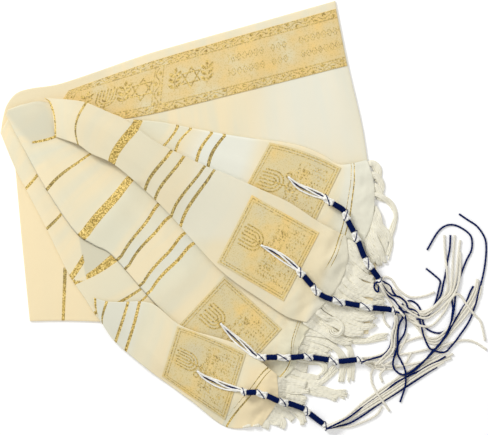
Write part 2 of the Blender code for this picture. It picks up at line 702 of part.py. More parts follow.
def lay_stretch(name, pile, rim, flat_base=False):
    along, across, wall, crown, crown_end = STRETCHES[name]
    points, triangles = cloth_body(Outline(OUTLINES[name]), (along, across), wall, crown, crown_end,
                                   FOLDS.get(name, []), pile, rim, flat_base)
    pile.lay(points, triangles)
    return points, triangles


def lay_patch(name, pile):
    outline = patch_outline(PATCH_CORNERS[name], PATCH_UPPER_BOW[name])
    points, triangles = cloth_body(outline, PATCH_CELLS, TRIM_WALL, 0.0, 1.0, [], pile, SINGLE_RIM)
    pile.lay(points, triangles)
    return points, triangles


def centre_on_origin(items):
    """Moves every mesh so that the whole stands on the origin, centred on the plan."""
    corners = np.array([vertex.co[:] for item in items for vertex in item.data.vertices])
    low, high = corners.min(axis=0), corners.max(axis=0)
    shift = -np.array([(low[0] + high[0]) / 2, (low[1] + high[1]) / 2, low[2]])
    for item in items:
        for vertex in item.data.vertices:
            vertex.co = [value + move for value, move in zip(vertex.co, shift)]


def main():
    clear_scene()
    parts = bpy.data.collections.new("prayer_shawl")
    bpy.context.scene.collection.children.link(parts)
    pile = Pile()
    items = []

    def keep(name, shape, material):
        items.append(make_object(name, *shape, material, parts))

    keep("back_panel", lay_stretch("back_panel", pile, LAYERED_RIM, flat_base=True), "cream_cloth")
    keep("neckband", lay_stretch("neckband", pile, SINGLE_RIM), "gold_satin")
    keep("front_low", lay_stretch("front_low", pile, SINGLE_RIM), "cream_cloth")
    for number in ("three", "four", "one", "two"):
        keep(f"front_{number}", lay_stretch(f"front_{number}", pile, SINGLE_RIM), "cream_cloth")
        keep(f"patch_{number}", lay_patch(f"patch_{number}", pile), "gold_satin")
        keep(f"fringe_{number}", fringe_body(f"fringe_{number}", pile), "white_fringe")
    for number in ("four", "three", "two", "one"):
        keep(f"tzitzit_{number}", cord_body(f"tzitzit_{number}", pile), "navy_thread")
    for number in ("four", "three", "two", "one"):
        keep(f"tassel_{number}", tassel_body(f"tassel_{number}", pile), "white_fringe")
    centre_on_origin(items)


main()
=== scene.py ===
"""Looks of a small tallit prayer shawl, folded and laid flat: cloth, brocade, fringe and tzitzit.

Plan places are in picture steps, counted to the right and down; one step is the cloth's width
divided by the steps that it spans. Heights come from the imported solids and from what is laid.
"""
import logging
import math
from dataclasses import dataclass, field
from enum import Enum

import bpy
import numpy as np
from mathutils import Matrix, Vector


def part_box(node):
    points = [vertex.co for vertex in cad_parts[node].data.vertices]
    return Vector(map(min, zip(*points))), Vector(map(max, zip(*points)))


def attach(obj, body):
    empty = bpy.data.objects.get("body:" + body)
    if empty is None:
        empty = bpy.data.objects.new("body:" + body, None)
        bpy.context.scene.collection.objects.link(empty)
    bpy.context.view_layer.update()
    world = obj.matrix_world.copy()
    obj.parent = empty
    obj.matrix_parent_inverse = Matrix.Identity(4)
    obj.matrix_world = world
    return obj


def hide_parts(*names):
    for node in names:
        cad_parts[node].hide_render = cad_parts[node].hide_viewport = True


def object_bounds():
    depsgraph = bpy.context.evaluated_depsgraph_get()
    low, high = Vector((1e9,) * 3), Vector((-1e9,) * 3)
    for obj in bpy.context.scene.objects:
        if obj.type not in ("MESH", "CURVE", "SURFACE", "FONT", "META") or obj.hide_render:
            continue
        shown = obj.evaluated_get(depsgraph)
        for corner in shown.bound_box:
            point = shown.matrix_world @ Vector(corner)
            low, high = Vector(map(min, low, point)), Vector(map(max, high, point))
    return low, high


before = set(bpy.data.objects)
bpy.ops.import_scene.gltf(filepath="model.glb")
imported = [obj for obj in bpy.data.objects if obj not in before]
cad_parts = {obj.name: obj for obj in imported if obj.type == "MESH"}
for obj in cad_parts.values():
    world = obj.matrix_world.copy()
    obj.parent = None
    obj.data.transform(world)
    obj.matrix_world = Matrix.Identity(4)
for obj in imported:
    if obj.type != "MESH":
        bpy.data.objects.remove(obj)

CAD_BOX = [list(corner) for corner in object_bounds()]
LOG = logging.getLogger("prayer_shawl")

CLOTH_WIDTH = 0.457
STEPS_ACROSS_CLOTH = 346.0
STEP = CLOTH_WIDTH / STEPS_ACROSS_CLOTH
PATCH_LEFT_STEP, PATCH_TOP_STEP = 217.3, 195.0
ORIGIN_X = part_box("patch_two")[0].x - PATCH_LEFT_STEP * STEP
ORIGIN_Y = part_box("patch_two")[1].y + PATCH_TOP_STEP * STEP
PHOTO_WIDTH, PHOTO_HEIGHT = 488.0, 435.0

MAP_CELL = 0.001
MAP_MARGIN = 0.02
CLOTH_WALL = 0.0012
DOUBLED_WALL = 0.0032
TRIM_WALL = 0.0006
REST_GAP = 0.0001
YARN_RADIUS = 0.00115
CLOTH_CELL = 0.0025
TRIM_CELL = 0.0009
# Least share of painted warm light on every stretch.
LEAST_PAINTED_WARMTH = 0.1
UPWARD_SHARE = 0.9

BLACK, WHITE = (0.0, 0.0, 0.0), (1.0, 1.0, 1.0)
SLUB_SCALE, SLUB_SHARE = 260.0, 1.6
HELD_LENGTH = 0.012

Points = list[tuple[float, float]]
Colour = tuple[float, float, float]
Range = tuple[float, float]
Array = np.ndarray
Material = bpy.types.Material
Piece = bpy.types.Object
Socket = bpy.types.NodeSocket


def plan(points: Points) -> Array:
    """Gives plan places in metres.

    Args:
        points: places in picture steps.

    Returns:
        An array of x and y, with up in the picture as +Y.
    """
    steps = np.asarray(points, float)
    return np.stack([ORIGIN_X + steps[..., 0] * STEP, ORIGIN_Y - steps[..., 1] * STEP], axis=-1)


def lengths_along(points: Array) -> Array:
    """Gives the length from the first point to each one: the steps between neighbours, added up."""
    return np.concatenate([[0], np.cumsum(np.linalg.norm(np.diff(points, axis=0), axis=1))])


def smooth_step(share: Array) -> Array:
    """Gives a share that starts and ends level: three squares less two cubes."""
    return share * share * (3 - 2 * share)


def smooth_through(points: Array, per_span: int = 12) -> Array:
    """Gives a Catmull-Rom curve: cubic spans through the points, level with their neighbours.

    Args:
        points: the points, in order.
        per_span: samples to a span.

    Returns:
        The curve's points.
    """
    if len(points) < 3:
        return np.asarray(points, float)
    held = np.vstack([2 * points[0] - points[1], points, 2 * points[-1] - points[-2]])
    share = np.linspace(0, 1, per_span, endpoint=False)[:, None]
    spans = []
    for before, start, end, after in zip(held, held[1:], held[2:], held[3:]):
        spans.append(0.5 * (2 * start + (end - before) * share
                            + (2 * before - 5 * start + 4 * end - after) * share**2
                            + (3 * start - before - 3 * end + after) * share**3))
    return np.vstack([*spans, points[-1:]])


def evenly(points: Array, spacing: float, least: int = 3) -> Array:
    """Gives a path through the points at even spacing.

    Args:
        points: the route's points.
        spacing: metres between samples.
        least: the fewest spans.

    Returns:
        The path's points.
    """
    curve = smooth_through(points)
    along = lengths_along(curve)
    count = max(least, int(round(along[-1] / spacing)))
    where = np.linspace(0, along[-1], count + 1)
    return np.stack([np.interp(where, along, curve[:, k]) for k in range(curve.shape[1])], axis=1)


class Rail:
    """A smooth plan curve, read by its share of length."""

    def __init__(self, points: Array) -> None:
        """Keeps the curve through these points in metres."""
        self.points = smooth_through(points)
        self.along = lengths_along(self.points)
        self.length = float(self.along[-1])

    def at(self, share: Array) -> Array:
        """Gives the places at these shares of the length."""
        where = np.clip(share, 0, 1) * self.length
        return np.stack([np.interp(where, self.along, self.points[:, k]) for k in (0, 1)], axis=-1)


class Outline:
    """Four rails round a piece, with the plan surface blended between them."""

    AREA_CELLS = (60, 30)

    def __init__(self, edges: dict[str, Points]) -> None:
        """Makes the rails from upper, lower, left and right edges in picture steps."""
        self.upper, self.lower, self.left, self.right = (
            Rail(plan(edges[side])) for side in ("upper", "lower", "left", "right"))
        self.size_along = min(self.upper.length, self.lower.length)
        self.size_across = min(self.left.length, self.right.length)

    def at(self, s: Array, t: Array) -> Array:
        """Gives plan places: both ruled surfaces added, less the one through the four corners.

        Args:
            s: shares along, from the left.
            t: shares across, from the upper edge.

        Returns:
            Places with x and y last.
        """
        ends = np.array([0.0, 1.0])
        top, bottom = self.upper.at(ends), self.lower.at(ends)
        a, b = s[..., None], t[..., None]
        ruled = (1 - b) * self.upper.at(s) + b * self.lower.at(s)
        sides = (1 - a) * self.left.at(t) + a * self.right.at(t)
        flat = ((1 - a) * (1 - b) * top[0] + a * (1 - b) * top[1]
                + (1 - a) * b * bottom[0] + a * b * bottom[1])
        return ruled + sides - flat

    def grid(self, columns: int, rows: int, inset: float) -> Array:
        """Gives a grid of places whose border lies this far inside the outline."""
        trim_s, trim_t = inset / self.size_along, inset / self.size_across
        s = np.linspace(trim_s, 1 - trim_s, columns + 1)
        t = np.linspace(trim_t, 1 - trim_t, rows + 1)
        return self.at(*np.meshgrid(s, t, indexing="ij"))

    def area(self) -> float:
        """Gives the plan's area in square metres, from the cross products of a grid's cells."""
        grid = self.grid(*self.AREA_CELLS, 0.0)
        first, second = grid[1:, 1:] - grid[:-1, :-1], grid[1:, :-1] - grid[:-1, 1:]
        return float(0.5 * np.abs(first[..., 0] * second[..., 1] - first[..., 1] * second[..., 0]).sum())


def window_max(values: Array, cells: int) -> Array:
    """Gives the highest value within this many cells along both axes."""
    for axis in (0, 1):
        padding = [(0, 0), (0, 0)]
        padding[axis] = (cells, cells)
        held = np.moveaxis(np.pad(values, padding, mode="edge"), axis, 0)
        count = values.shape[axis]
        best = held[:count]
        for shift in range(1, 2 * cells + 1):
            best = np.maximum(best, held[shift:shift + count])
        values = np.moveaxis(best, 0, axis)
    return values


def window_mean(values: Array, cells: int) -> Array:
    """Gives the mean within this many cells along both axes."""
    for axis in (0, 1):
        padding = [(0, 0), (0, 0)]
        padding[axis] = (cells + 1, cells)
        total = np.cumsum(np.moveaxis(np.pad(values, padding, mode="edge"), axis, 0), axis=0)
        width = 2 * cells + 1
        values = np.moveaxis((total[width:] - total[:-width]) / width, 0, axis)
    return values


class HeightMap:
    """Heights on a square map of the plan, raised by what is laid."""

    LAID_SPACING = 0.7 * MAP_CELL
    LAST_CELL = 1.001

    def __init__(self) -> None:
        """Starts level with the surface that the shawl lies on."""
        low, high = (np.array(corner[:2]) for corner in CAD_BOX)
        self.low = low - MAP_MARGIN
        self.top = np.zeros(tuple(np.ceil((high - low + 2 * MAP_MARGIN) / MAP_CELL).astype(int) + 1))

    def spots(self, xy: Array) -> Array:
        """Gives map indices, not rounded, kept inside the map."""
        return np.clip((xy - self.low) / MAP_CELL, 0, np.array(self.top.shape) - self.LAST_CELL)

    def raise_to(self, points: Array) -> None:
        """Raises the map to these points where it is lower."""
        index = np.round(self.spots(points[:, :2])).astype(int)
        np.maximum.at(self.top, (index[:, 0], index[:, 1]), points[:, 2])

    def lay(self, points: Array, triangles: Array) -> None:
        """Raises the map under triangles, by points spread over each of them.

        Args:
            points: the corners' places.
            triangles: three indices to a triangle.
        """
        corners = points[triangles]
        size = np.ptp(corners[:, :, :2], axis=1).max(axis=1)
        counts = np.ceil(size / self.LAID_SPACING).astype(int) + 1
        for count in np.unique(counts):
            i, j = np.meshgrid(np.arange(count + 1), np.arange(count + 1), indexing="ij")
            keep = i + j <= count
            a, b = i[keep] / count, j[keep] / count
            weights = np.stack([1 - a - b, a, b], axis=1)
            self.raise_to(np.einsum("kc,ncd->nkd", weights, corners[counts == count]).reshape(-1, 3))

    def sample(self, xy: Array, heights: Array | None = None) -> Array:
        """Gives heights blended between the four nearest cells.

        Args:
            xy: plan places.
            heights: another map of the same size, or none for this one.

        Returns:
            A height for each place.
        """
        values = self.top if heights is None else heights
        spots = self.spots(xy)
        index = spots.astype(int)
        share = spots - index
        x, y, a, b = index[..., 0], index[..., 1], share[..., 0], share[..., 1]
        return ((1 - a) * (1 - b) * values[x, y] + a * (1 - b) * values[x + 1, y]
                + (1 - a) * b * values[x, y + 1] + a * b * values[x + 1, y + 1])


def node_triangles(name: str) -> tuple[Array, Array]:
    """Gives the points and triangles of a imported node."""
    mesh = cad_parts[name].data
    mesh.calc_loop_triangles()
    points = np.empty(len(mesh.vertices) * 3)
    mesh.vertices.foreach_get("co", points)
    triangles = np.empty(len(mesh.loop_triangles) * 3, np.int32)
    mesh.loop_triangles.foreach_get("vertices", triangles)
    return points.reshape(-1, 3), triangles.reshape(-1, 3)


def node_surface(name: str, ease: int = 5) -> tuple[HeightMap, Array]:
    """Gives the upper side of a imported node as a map, eased over its facets.

    The map is a mean over a window that counts only the node's own cells.

    Args:
        name: the node.
        ease: half the window, in cells.

    Returns:
        The map, and its eased heights.
    """
    points, triangles = node_triangles(name)
    a, b, c = (points[triangles[:, k]] for k in range(3))
    normal = np.cross(b - a, c - a)
    upward = normal[:, 2] > UPWARD_SHARE * np.linalg.norm(normal, axis=1)
    found = HeightMap()
    found.lay(points, triangles[upward])
    covered = (found.top > 0).astype(float)
    values, weights = found.top, covered
    for _ in range(2):
        values, weights = window_mean(values, ease), window_mean(weights, ease)
    return found, values / np.maximum(weights, 1e-6)


class Finish(Enum):
    """The finishes, by material name."""

    CLOTH = "cream_cloth"
    PATCH = "patch_brocade"
    BAND = "neckband_brocade"
    FRINGE = "white_fringe"
    BRIGHT_YARN = "bright_yarn"
    # A darker copy of the white yarn: painted shade on the loose strands.
    WHITE_YARN = "white_yarn"
    NAVY_YARN = "navy_yarn"
    FLOOR = "pale_floor"


class Graph:
    """Short calls for wiring a material's nodes."""

    def __init__(self, name: str) -> None:
        """Starts a material with its Principled shader."""
        self.material = bpy.data.materials.new(name)
        self.material.use_nodes = True
        self.tree = self.material.node_tree
        self.shader = self.tree.nodes["Principled BSDF"]

    def node(self, kind: str, **settings: object) -> bpy.types.Node:
        """Adds a node with these properties set."""
        made = self.tree.nodes.new(kind)
        for key, value in settings.items():
            setattr(made, key, value)
        return made

    def feed(self, socket: Socket, value: object) -> None:
        """Links a socket, or sets its value."""
        if isinstance(value, Socket):
            self.tree.links.new(value, socket)
        elif isinstance(value, tuple) and len(value) == 3 and socket.type == "RGBA":
            socket.default_value = (*value, 1.0)
        else:
            socket.default_value = value

    def put(self, name: str, value: object) -> None:
        """Links or sets one of the shader's own sockets."""
        self.feed(self.shader.inputs[name], value)

    def math(self, kind: str, first: object, second: object = 0.0) -> Socket:
        """Gives one arithmetic step."""
        made = self.node("ShaderNodeMath", operation=kind)
        self.feed(made.inputs[0], first)
        self.feed(made.inputs[1], second)
        return made.outputs[0]

    def mix(self, share: object, first: object, second: object) -> Socket:
        """Gives a blend of two colours."""
        made = self.node("ShaderNodeMix", data_type="RGBA")
        self.feed(made.inputs["Factor"], share)
        self.feed(made.inputs["A"], first)
        self.feed(made.inputs["B"], second)
        return made.outputs["Result"]

    def attribute(self, name: str) -> Socket:
        """Gives a number stored on the mesh's points."""
        return self.node("ShaderNodeAttribute", attribute_name=name).outputs["Fac"]

    def place(self) -> Socket:
        """Gives Object coordinates."""
        return self.node("ShaderNodeTexCoord").outputs["Object"]

    def uv(self) -> Socket:
        """Gives the piece's own UV map."""
        return self.node("ShaderNodeUVMap", uv_map="weave").outputs["UV"]

    def noise(self, vector: Socket, scale: float, detail: float = 2.0) -> Socket:
        """Gives soft noise from 0 to 1."""
        made = self.node("ShaderNodeTexNoise")
        self.feed(made.inputs["Vector"], vector)
        self.feed(made.inputs["Scale"], scale)
        self.feed(made.inputs["Detail"], detail)
        return made.outputs["Fac"]

    def ramp(self, value: object, stops: list[tuple[float, Colour]]) -> Socket:
        """Gives colours along a value.

        Args:
            value: the value, from 0 to 1.
            stops: place and colour of each stop, in rising order.

        Returns:
            The colour.
        """
        made = self.node("ShaderNodeValToRGB")
        elements = made.color_ramp.elements
        elements.remove(elements[1])
        elements[0].position, elements[0].color = stops[0][0], (*stops[0][1], 1.0)
        for where, colour in stops[1:]:
            elements.new(where).color = (*colour, 1.0)
        self.feed(made.inputs["Fac"], value)
        return made.outputs["Color"]

    def rise(self, value: Socket, between: Range) -> Socket:
        """Gives a grey that rises from black to white between two values."""
        return self.ramp(value, [(between[0], BLACK), (between[1], WHITE)])

    def bump(self, height: Socket, strength: float, depth: float) -> None:
        """Gives the shader a bump from a height."""
        made = self.node("ShaderNodeBump")
        self.feed(made.inputs["Strength"], strength)
        self.feed(made.inputs["Distance"], depth)
        self.feed(made.inputs["Height"], height)
        self.put("Normal", made.outputs["Normal"])


@dataclass(frozen=True)
class GoldThread:
    """Glittering metal thread: gold flecked bright and dark, as painted glints and dark specks of its
    glitter.
    """

    bright: Colour = (0.97, 0.75, 0.28)
    middle: Colour = (0.66, 0.45, 0.10)
    dark: Colour = (0.26, 0.17, 0.03)
    fleck: float = 560.0
    stops: tuple[float, ...] = (0.34, 0.5, 0.66)

    def colour(self, graph: Graph) -> Socket:
        """Gives the flecked colour: gold with painted glints and dark specks."""
        flecks = graph.noise(graph.place(), self.fleck, 1.0)
        return graph.ramp(flecks, list(zip(self.stops, (self.dark, self.middle, self.bright))))


@dataclass(frozen=True)
class StripePlan:
    """The woven stripes by their place along the cloth, in steps from the first fine one."""

    fine: tuple[float, ...] = (0.0, 40.0, 134.0, 146.5, 168.5, 179.5)
    fine_half: float = 1.45
    hem: tuple[float, ...] = (312.0, 315.5)
    hem_half: float = 0.42
    broad: float = 97.0
    broad_half: float = 4.3

    def mask(self, graph: Graph, along: Socket,
             places: tuple[float, ...], half: float) -> Socket:
        """Gives 1 where the place along is within half a width of one of these stripes."""
        found: object = 0.0
        for place in places:
            mark = graph.node("ShaderNodeMath", operation="COMPARE")
            graph.feed(mark.inputs[0], along)
            graph.feed(mark.inputs[1], place)
            graph.feed(mark.inputs[2], half)
            found = graph.math("MAXIMUM", mark.outputs[0], found)
        return found


STRIPES = StripePlan()
TINT_LOW, TINT_HIGH = -80.0, 360.0
# Columns: where along the cloth, then pale, band or cream.
TINTS = ((-80, "cream"), (2, "cream"), (14, "pale"), (22, "cream"), (50, "cream"), (58, "pale"),
         (66, "cream"), (99, "cream"), (103, "pale"), (124, "pale"), (131, "cream"), (136, "band"),
         (145, "band"), (148, "cream"), (166, "cream"), (170, "band"), (178, "band"), (182, "pale"),
         (215, "cream"), (300, "cream"), (312, "pale"))


@dataclass(frozen=True)
class ClothFinish:
    """Cream cloth with gold stripes, satin streaks and whiter bands between the pairs, with painted warm
    light, whiter painted light and painted shade in soft areas.
    """

    # Painted warm light: the warm glow of fill light thrown back onto the cloth.
    painted_warm_light: Colour = (0.93, 0.77, 0.475)
    cream: Colour = (0.89, 0.77, 0.51)
    pale: Colour = (0.76, 0.74, 0.57)
    band: Colour = (0.75, 0.75, 0.63)
    # Painted light: the whiter colour of zones where more light falls.
    white: Colour = (0.85, 0.85, 0.74)
    shadow: Colour = (0.64, 0.61, 0.46)
    threads: float = 1500.0
    streak_scale: tuple[float, float, float] = (46.0, 5.0, 1.0)
    streak_range: Range = (0.42, 0.62)
    streak_share: float = 0.75
    cloud_scale: float = 9.0
    cloud_range: Range = (0.40, 0.62)
    cloud_share: float = 0.40
    gold: GoldThread = GoldThread()
    dull: GoldThread = GoldThread(
        bright=(0.72, 0.56, 0.20), middle=(0.42, 0.30, 0.075), dark=(0.20, 0.145, 0.05))
    dull_scale: float = 14.0
    dull_range: Range = (0.45, 0.55)
    metal: float = 0.25
    roughness: float = 0.8
    gold_gloss: float = 0.4
    sheen: float = 0.15
    sheen_roughness: float = 0.5
    glitter_scale: float = 800.0
    glitter_height: float = 3.0
    bump_strength: float = 0.25
    bump_depth: float = 0.0004

    def ground(self, graph: Graph, along: Socket) -> Socket:
        """Gives the ground: tints by the place along, streaks across the cloth and soft clouds, then
        painted warm light, whiter painted light and painted shade from the soft areas.
        """
        share = graph.math("DIVIDE", graph.math("SUBTRACT", along, TINT_LOW), TINT_HIGH - TINT_LOW)
        tints = {"cream": self.cream, "pale": self.pale, "band": self.band}
        ground = graph.ramp(share, [((place - TINT_LOW) / (TINT_HIGH - TINT_LOW), tints[kind])
                                    for place, kind in TINTS])
        stretched = graph.node("ShaderNodeVectorMath", operation="MULTIPLY")
        graph.feed(stretched.inputs[0], graph.uv())
        stretched.inputs[1].default_value = self.streak_scale
        streak = graph.rise(graph.noise(stretched.outputs[0], 1.0), self.streak_range)
        cloud = graph.rise(graph.noise(graph.place(), self.cloud_scale), self.cloud_range)
        ground = graph.mix(graph.math("MULTIPLY", streak, self.streak_share), ground, self.pale)
        ground = graph.mix(graph.math("MULTIPLY", cloud, self.cloud_share), ground, self.cream)
        # Painted warm light, then whiter painted light, then painted shade, each by its soft areas.
        ground = graph.mix(graph.attribute("warm"), ground, self.painted_warm_light)
        ground = graph.mix(graph.attribute("clear"), ground, self.white)
        return graph.mix(graph.attribute("shade"), ground, self.shadow)

    def make(self) -> Material:
        """Builds the material."""
        graph = Graph(Finish.CLOTH.value)
        along = graph.attribute("along")
        broad = STRIPES.mask(graph, along, (STRIPES.broad,), STRIPES.broad_half)
        fine = graph.math("MAXIMUM", STRIPES.mask(graph, along, STRIPES.fine, STRIPES.fine_half),
                          STRIPES.mask(graph, along, STRIPES.hem, STRIPES.hem_half))
        shown = graph.math("SUBTRACT", 1.0, graph.attribute("plain"))
        gold = graph.math("MULTIPLY", graph.math("MAXIMUM", broad, fine), shown)
        dulling = graph.rise(graph.noise(graph.place(), self.dull_scale, 1.0), self.dull_range)
        dulling = graph.math("MULTIPLY", dulling, graph.math("SUBTRACT", 1.0, broad))
        # Gold thread with painted glints.
        thread = graph.mix(dulling, self.gold.colour(graph), self.dull.colour(graph))
        graph.put("Base Color", graph.mix(gold, self.ground(graph, along), thread))
        graph.put("Metallic", graph.math("MULTIPLY", gold, self.metal))
        gloss = graph.math("MULTIPLY", gold, self.gold_gloss)
        graph.put("Roughness", graph.math("SUBTRACT", self.roughness, gloss))
        graph.put("Sheen Weight", self.sheen)
        graph.put("Sheen Roughness", self.sheen_roughness)
        glitter = graph.math("MULTIPLY", graph.noise(graph.place(), self.glitter_scale, 1.0),
                             graph.math("MULTIPLY", gold, self.glitter_height))
        height = graph.math("ADD", weave_height(graph, self.threads), glitter)
        graph.bump(height, self.bump_strength, self.bump_depth)
        return graph.material


def weave_height(graph: Graph, threads: float) -> Socket:
    """Gives a plain weave's height: the product of two sines on the cloth's own map, plus slubs.

    Args:
        graph: the material's graph.
        threads: threads to a metre.

    Returns:
        The height.
    """
    split = graph.node("ShaderNodeSeparateXYZ")
    graph.feed(split.inputs[0], graph.uv())
    turn = 2 * math.pi * threads
    warp = graph.math("SINE", graph.math("MULTIPLY", split.outputs["X"], turn))
    weft = graph.math("SINE", graph.math("MULTIPLY", split.outputs["Y"], turn))
    slubs = graph.math("MULTIPLY", graph.noise(graph.place(), SLUB_SCALE, 3.0), SLUB_SHARE)
    return graph.math("ADD", graph.math("MULTIPLY", warp, weft), slubs)


@dataclass(frozen=True)
class BrocadeFinish:
    """Satin brocade: a cloudy satin ground with figures in metal thread."""

    name: str
    ground: Colour
    cool: Colour
    warm: Colour
    gold: GoldThread = GoldThread(
        bright=(0.86, 0.64, 0.22), middle=(0.58, 0.41, 0.10), dark=(0.28, 0.18, 0.04))
    cloud_scale: float = 28.0
    cloud_stops: tuple[float, ...] = (0.32, 0.5, 0.68)
    speckle_scale: float = 620.0
    speckle_range: Range = (0.55, 0.64)
    speckle_share: float = 0.45
    metal: float = 0.3
    roughness: float = 0.5
    sheen: float = 0.2
    threads: float = 1900.0
    weave_share: float = 0.35
    bump_strength: float = 0.4
    bump_depth: float = 0.0003

    def make(self) -> Material:
        """Builds the material."""
        graph = Graph(self.name)
        cloud = graph.noise(graph.place(), self.cloud_scale, 3.0)
        ground = graph.ramp(cloud, list(zip(self.cloud_stops, (self.cool, self.ground, self.warm))))
        speckle = graph.rise(graph.noise(graph.place(), self.speckle_scale, 1.0), self.speckle_range)
        ground = graph.mix(graph.math("MULTIPLY", speckle, self.speckle_share), ground, self.gold.middle)
        figure = graph.attribute("figure")
        # The figures' gold, with painted glints.
        colour = graph.mix(figure, ground, self.gold.colour(graph))
        graph.put("Base Color", colour)
        graph.put("Metallic", graph.math("MULTIPLY", figure, self.metal))
        graph.put("Roughness", self.roughness)
        graph.put("Sheen Weight", self.sheen)
        weave = graph.math("MULTIPLY", weave_height(graph, self.threads), self.weave_share)
        graph.bump(graph.math("ADD", weave, figure), self.bump_strength, self.bump_depth)
        return graph.material


@dataclass(frozen=True)
class YarnFinish:
    """Twisted yarn: slanting plies from its own map, with a soft nap; the ply crowns are painted light
    and the grooves painted shade.
    """

    name: str
    # Painted light on the ply crowns, and painted shade in the grooves.
    light: Colour
    groove_shade: Colour
    turns: float = 150.0
    plies: int = 2
    nap: float = 0.3
    shine: float = 0.2
    contrast: float = 0.6
    roughness: float = 0.85
    fibre_scale: float = 1400.0
    fibre_share: float = 0.4
    bump_strength: float = 0.6
    bump_depth: float = 0.0003

    def make(self) -> Material:
        """Builds the material."""
        graph = Graph(self.name)
        split = graph.node("ShaderNodeSeparateXYZ")
        graph.feed(split.inputs[0], graph.uv())
        along = graph.math("MULTIPLY", split.outputs["Y"], 2 * math.pi * self.turns)
        round_it = graph.math("MULTIPLY", split.outputs["X"], 2 * math.pi * self.plies)
        turned = graph.math("MULTIPLY", graph.math("ADD", along, round_it), 0.5)
        ply = graph.math("ABSOLUTE", graph.math("SINE", turned))
        # Painted shade in the grooves between plies.
        colour = graph.mix(graph.math("POWER", ply, self.contrast), self.groove_shade, self.light)
        graph.put("Base Color", colour)
        graph.put("Roughness", self.roughness)
        graph.put("Specular IOR Level", self.shine)
        graph.put("Sheen Weight", self.nap)
        fibres = graph.math("MULTIPLY", graph.noise(graph.place(), self.fibre_scale), self.fibre_share)
        graph.bump(graph.math("ADD", ply, fibres), self.bump_strength, self.bump_depth)
        return graph.material


@dataclass(frozen=True)
class FloorFinish:
    """A plain pale surface."""

    colour: Colour = (0.97, 0.97, 0.97)
    mottled: Colour = (0.98, 0.98, 0.98)
    mottle_scale: float = 3.0
    roughness: float = 0.9
    glow: float = 0.12

    def make(self) -> Material:
        """Builds the material."""
        graph = Graph(Finish.FLOOR.value)
        mottle = graph.noise(graph.place(), self.mottle_scale)
        graph.put("Base Color", graph.mix(mottle, self.colour, self.mottled))
        graph.put("Roughness", self.roughness)
        graph.put("Emission Color", WHITE)
        graph.put("Emission Strength", self.glow)
        return graph.material


def finishes() -> dict[Finish, Material]:
    """Builds every material once.

    Returns:
        The materials by finish.
    """
    made = {
        Finish.CLOTH: ClothFinish(),
        Finish.PATCH: BrocadeFinish(
            Finish.PATCH.value, ground=(0.76, 0.63, 0.33), cool=(0.71, 0.62, 0.38),
            warm=(0.86, 0.62, 0.23)),
        Finish.BAND: BrocadeFinish(
            Finish.BAND.value, ground=(0.78, 0.60, 0.28), cool=(0.76, 0.66, 0.40),
            warm=(0.86, 0.60, 0.21)),
        Finish.FRINGE: YarnFinish(
            Finish.FRINGE.value, light=(0.91, 0.87, 0.72), groove_shade=(0.85, 0.81, 0.66)),
        Finish.BRIGHT_YARN: YarnFinish(
            Finish.BRIGHT_YARN.value, light=(0.98, 0.97, 0.92), groove_shade=(0.80, 0.78, 0.70)),
        # The loose strands: the same white yarn as the knots, painted darker as shade.
        Finish.WHITE_YARN: YarnFinish(
            Finish.WHITE_YARN.value, light=(0.86, 0.82, 0.70), groove_shade=(0.72, 0.67, 0.55)),
        Finish.NAVY_YARN: YarnFinish(
            Finish.NAVY_YARN.value, light=(0.003, 0.013, 0.100), groove_shade=(0.001, 0.005, 0.045),
            nap=0.0, shine=0.05),
        Finish.FLOOR: FloorFinish(),
    }
    return {finish: maker.make() for finish, maker in made.items()}


def store(name: str, points: Array, faces: Array, uv: Array,
          materials: list[Material], numbers: dict[str, Array] | None = None,
          slots: Array | None = None) -> Piece:
    """Makes a smooth mesh object at the origin.

    Args:
        name: the piece's name.
        points: places of the points.
        faces: quads, four indices each.
        uv: a map place for each point.
        materials: the piece's materials.
        numbers: values to keep on the points, by name.
        slots: the material index of each face.

    Returns:
        The object.
    """
    mesh = bpy.data.meshes.new(name)
    mesh.vertices.add(len(points))
    mesh.vertices.foreach_set("co", np.asarray(points, np.float32).ravel())
    mesh.loops.add(faces.size)
    mesh.loops.foreach_set("vertex_index", faces.astype(np.int32).ravel())
    mesh.polygons.add(len(faces))
    mesh.polygons.foreach_set("loop_start", np.arange(0, faces.size, 4, dtype=np.int32))
    mesh.update(calc_edges=True)
    layer = mesh.uv_layers.new(name="weave")
    layer.data.foreach_set("uv", np.asarray(uv, np.float32)[faces.ravel()].ravel())
    for key, values in (numbers or {}).items():
        kept = mesh.attributes.new(key, "FLOAT", "POINT")
        kept.data.foreach_set("value", np.asarray(values, np.float32).ravel())
    if slots is not None:
        mesh.polygons.foreach_set("material_index", slots.astype(np.int32))
    for material in materials:
        mesh.materials.append(material)
    mesh.shade_smooth()
    made = bpy.data.objects.new(name, mesh)
    bpy.context.scene.collection.objects.link(made)
    return made


def border_of(columns: int, rows: int) -> Array:
    """Gives the grid indices round the border, once."""
    first = [(i, 0) for i in range(columns)]
    second = [(columns, j) for j in range(rows)]
    third = [(i, rows) for i in range(columns, 0, -1)]
    fourth = [(0, j) for j in range(rows, 0, -1)]
    return np.array(first + second + third + fourth)


@dataclass(frozen=True)
class Crease:
    """A soft ridge, or a trough where its height is negative."""

    route: Points
    height: float
    half_width: float
    end_share: float = 0.15

    def raised(self, xy: Array) -> Array:
        """Gives the height at each place: a bell across the route that fades at both ends."""
        line = smooth_through(plan(self.route), 6)
        along = lengths_along(line)
        best = np.full(xy.shape[:-1], np.inf)
        where = np.zeros(xy.shape[:-1])
        for k in range(len(line) - 1):
            run = line[k + 1] - line[k]
            share = np.clip(((xy - line[k]) @ run) / max(run @ run, 1e-12), 0, 1)
            away = np.linalg.norm(xy - (line[k] + share[..., None] * run), axis=-1)
            nearer = away < best
            best = np.where(nearer, away, best)
            where = np.where(nearer, (along[k] + share * (along[k + 1] - along[k])) / along[-1], where)
        fade = self.end_share + (1 - self.end_share) * np.sin(math.pi * where)
        return self.height * fade * np.exp(-((best / self.half_width) ** 2))


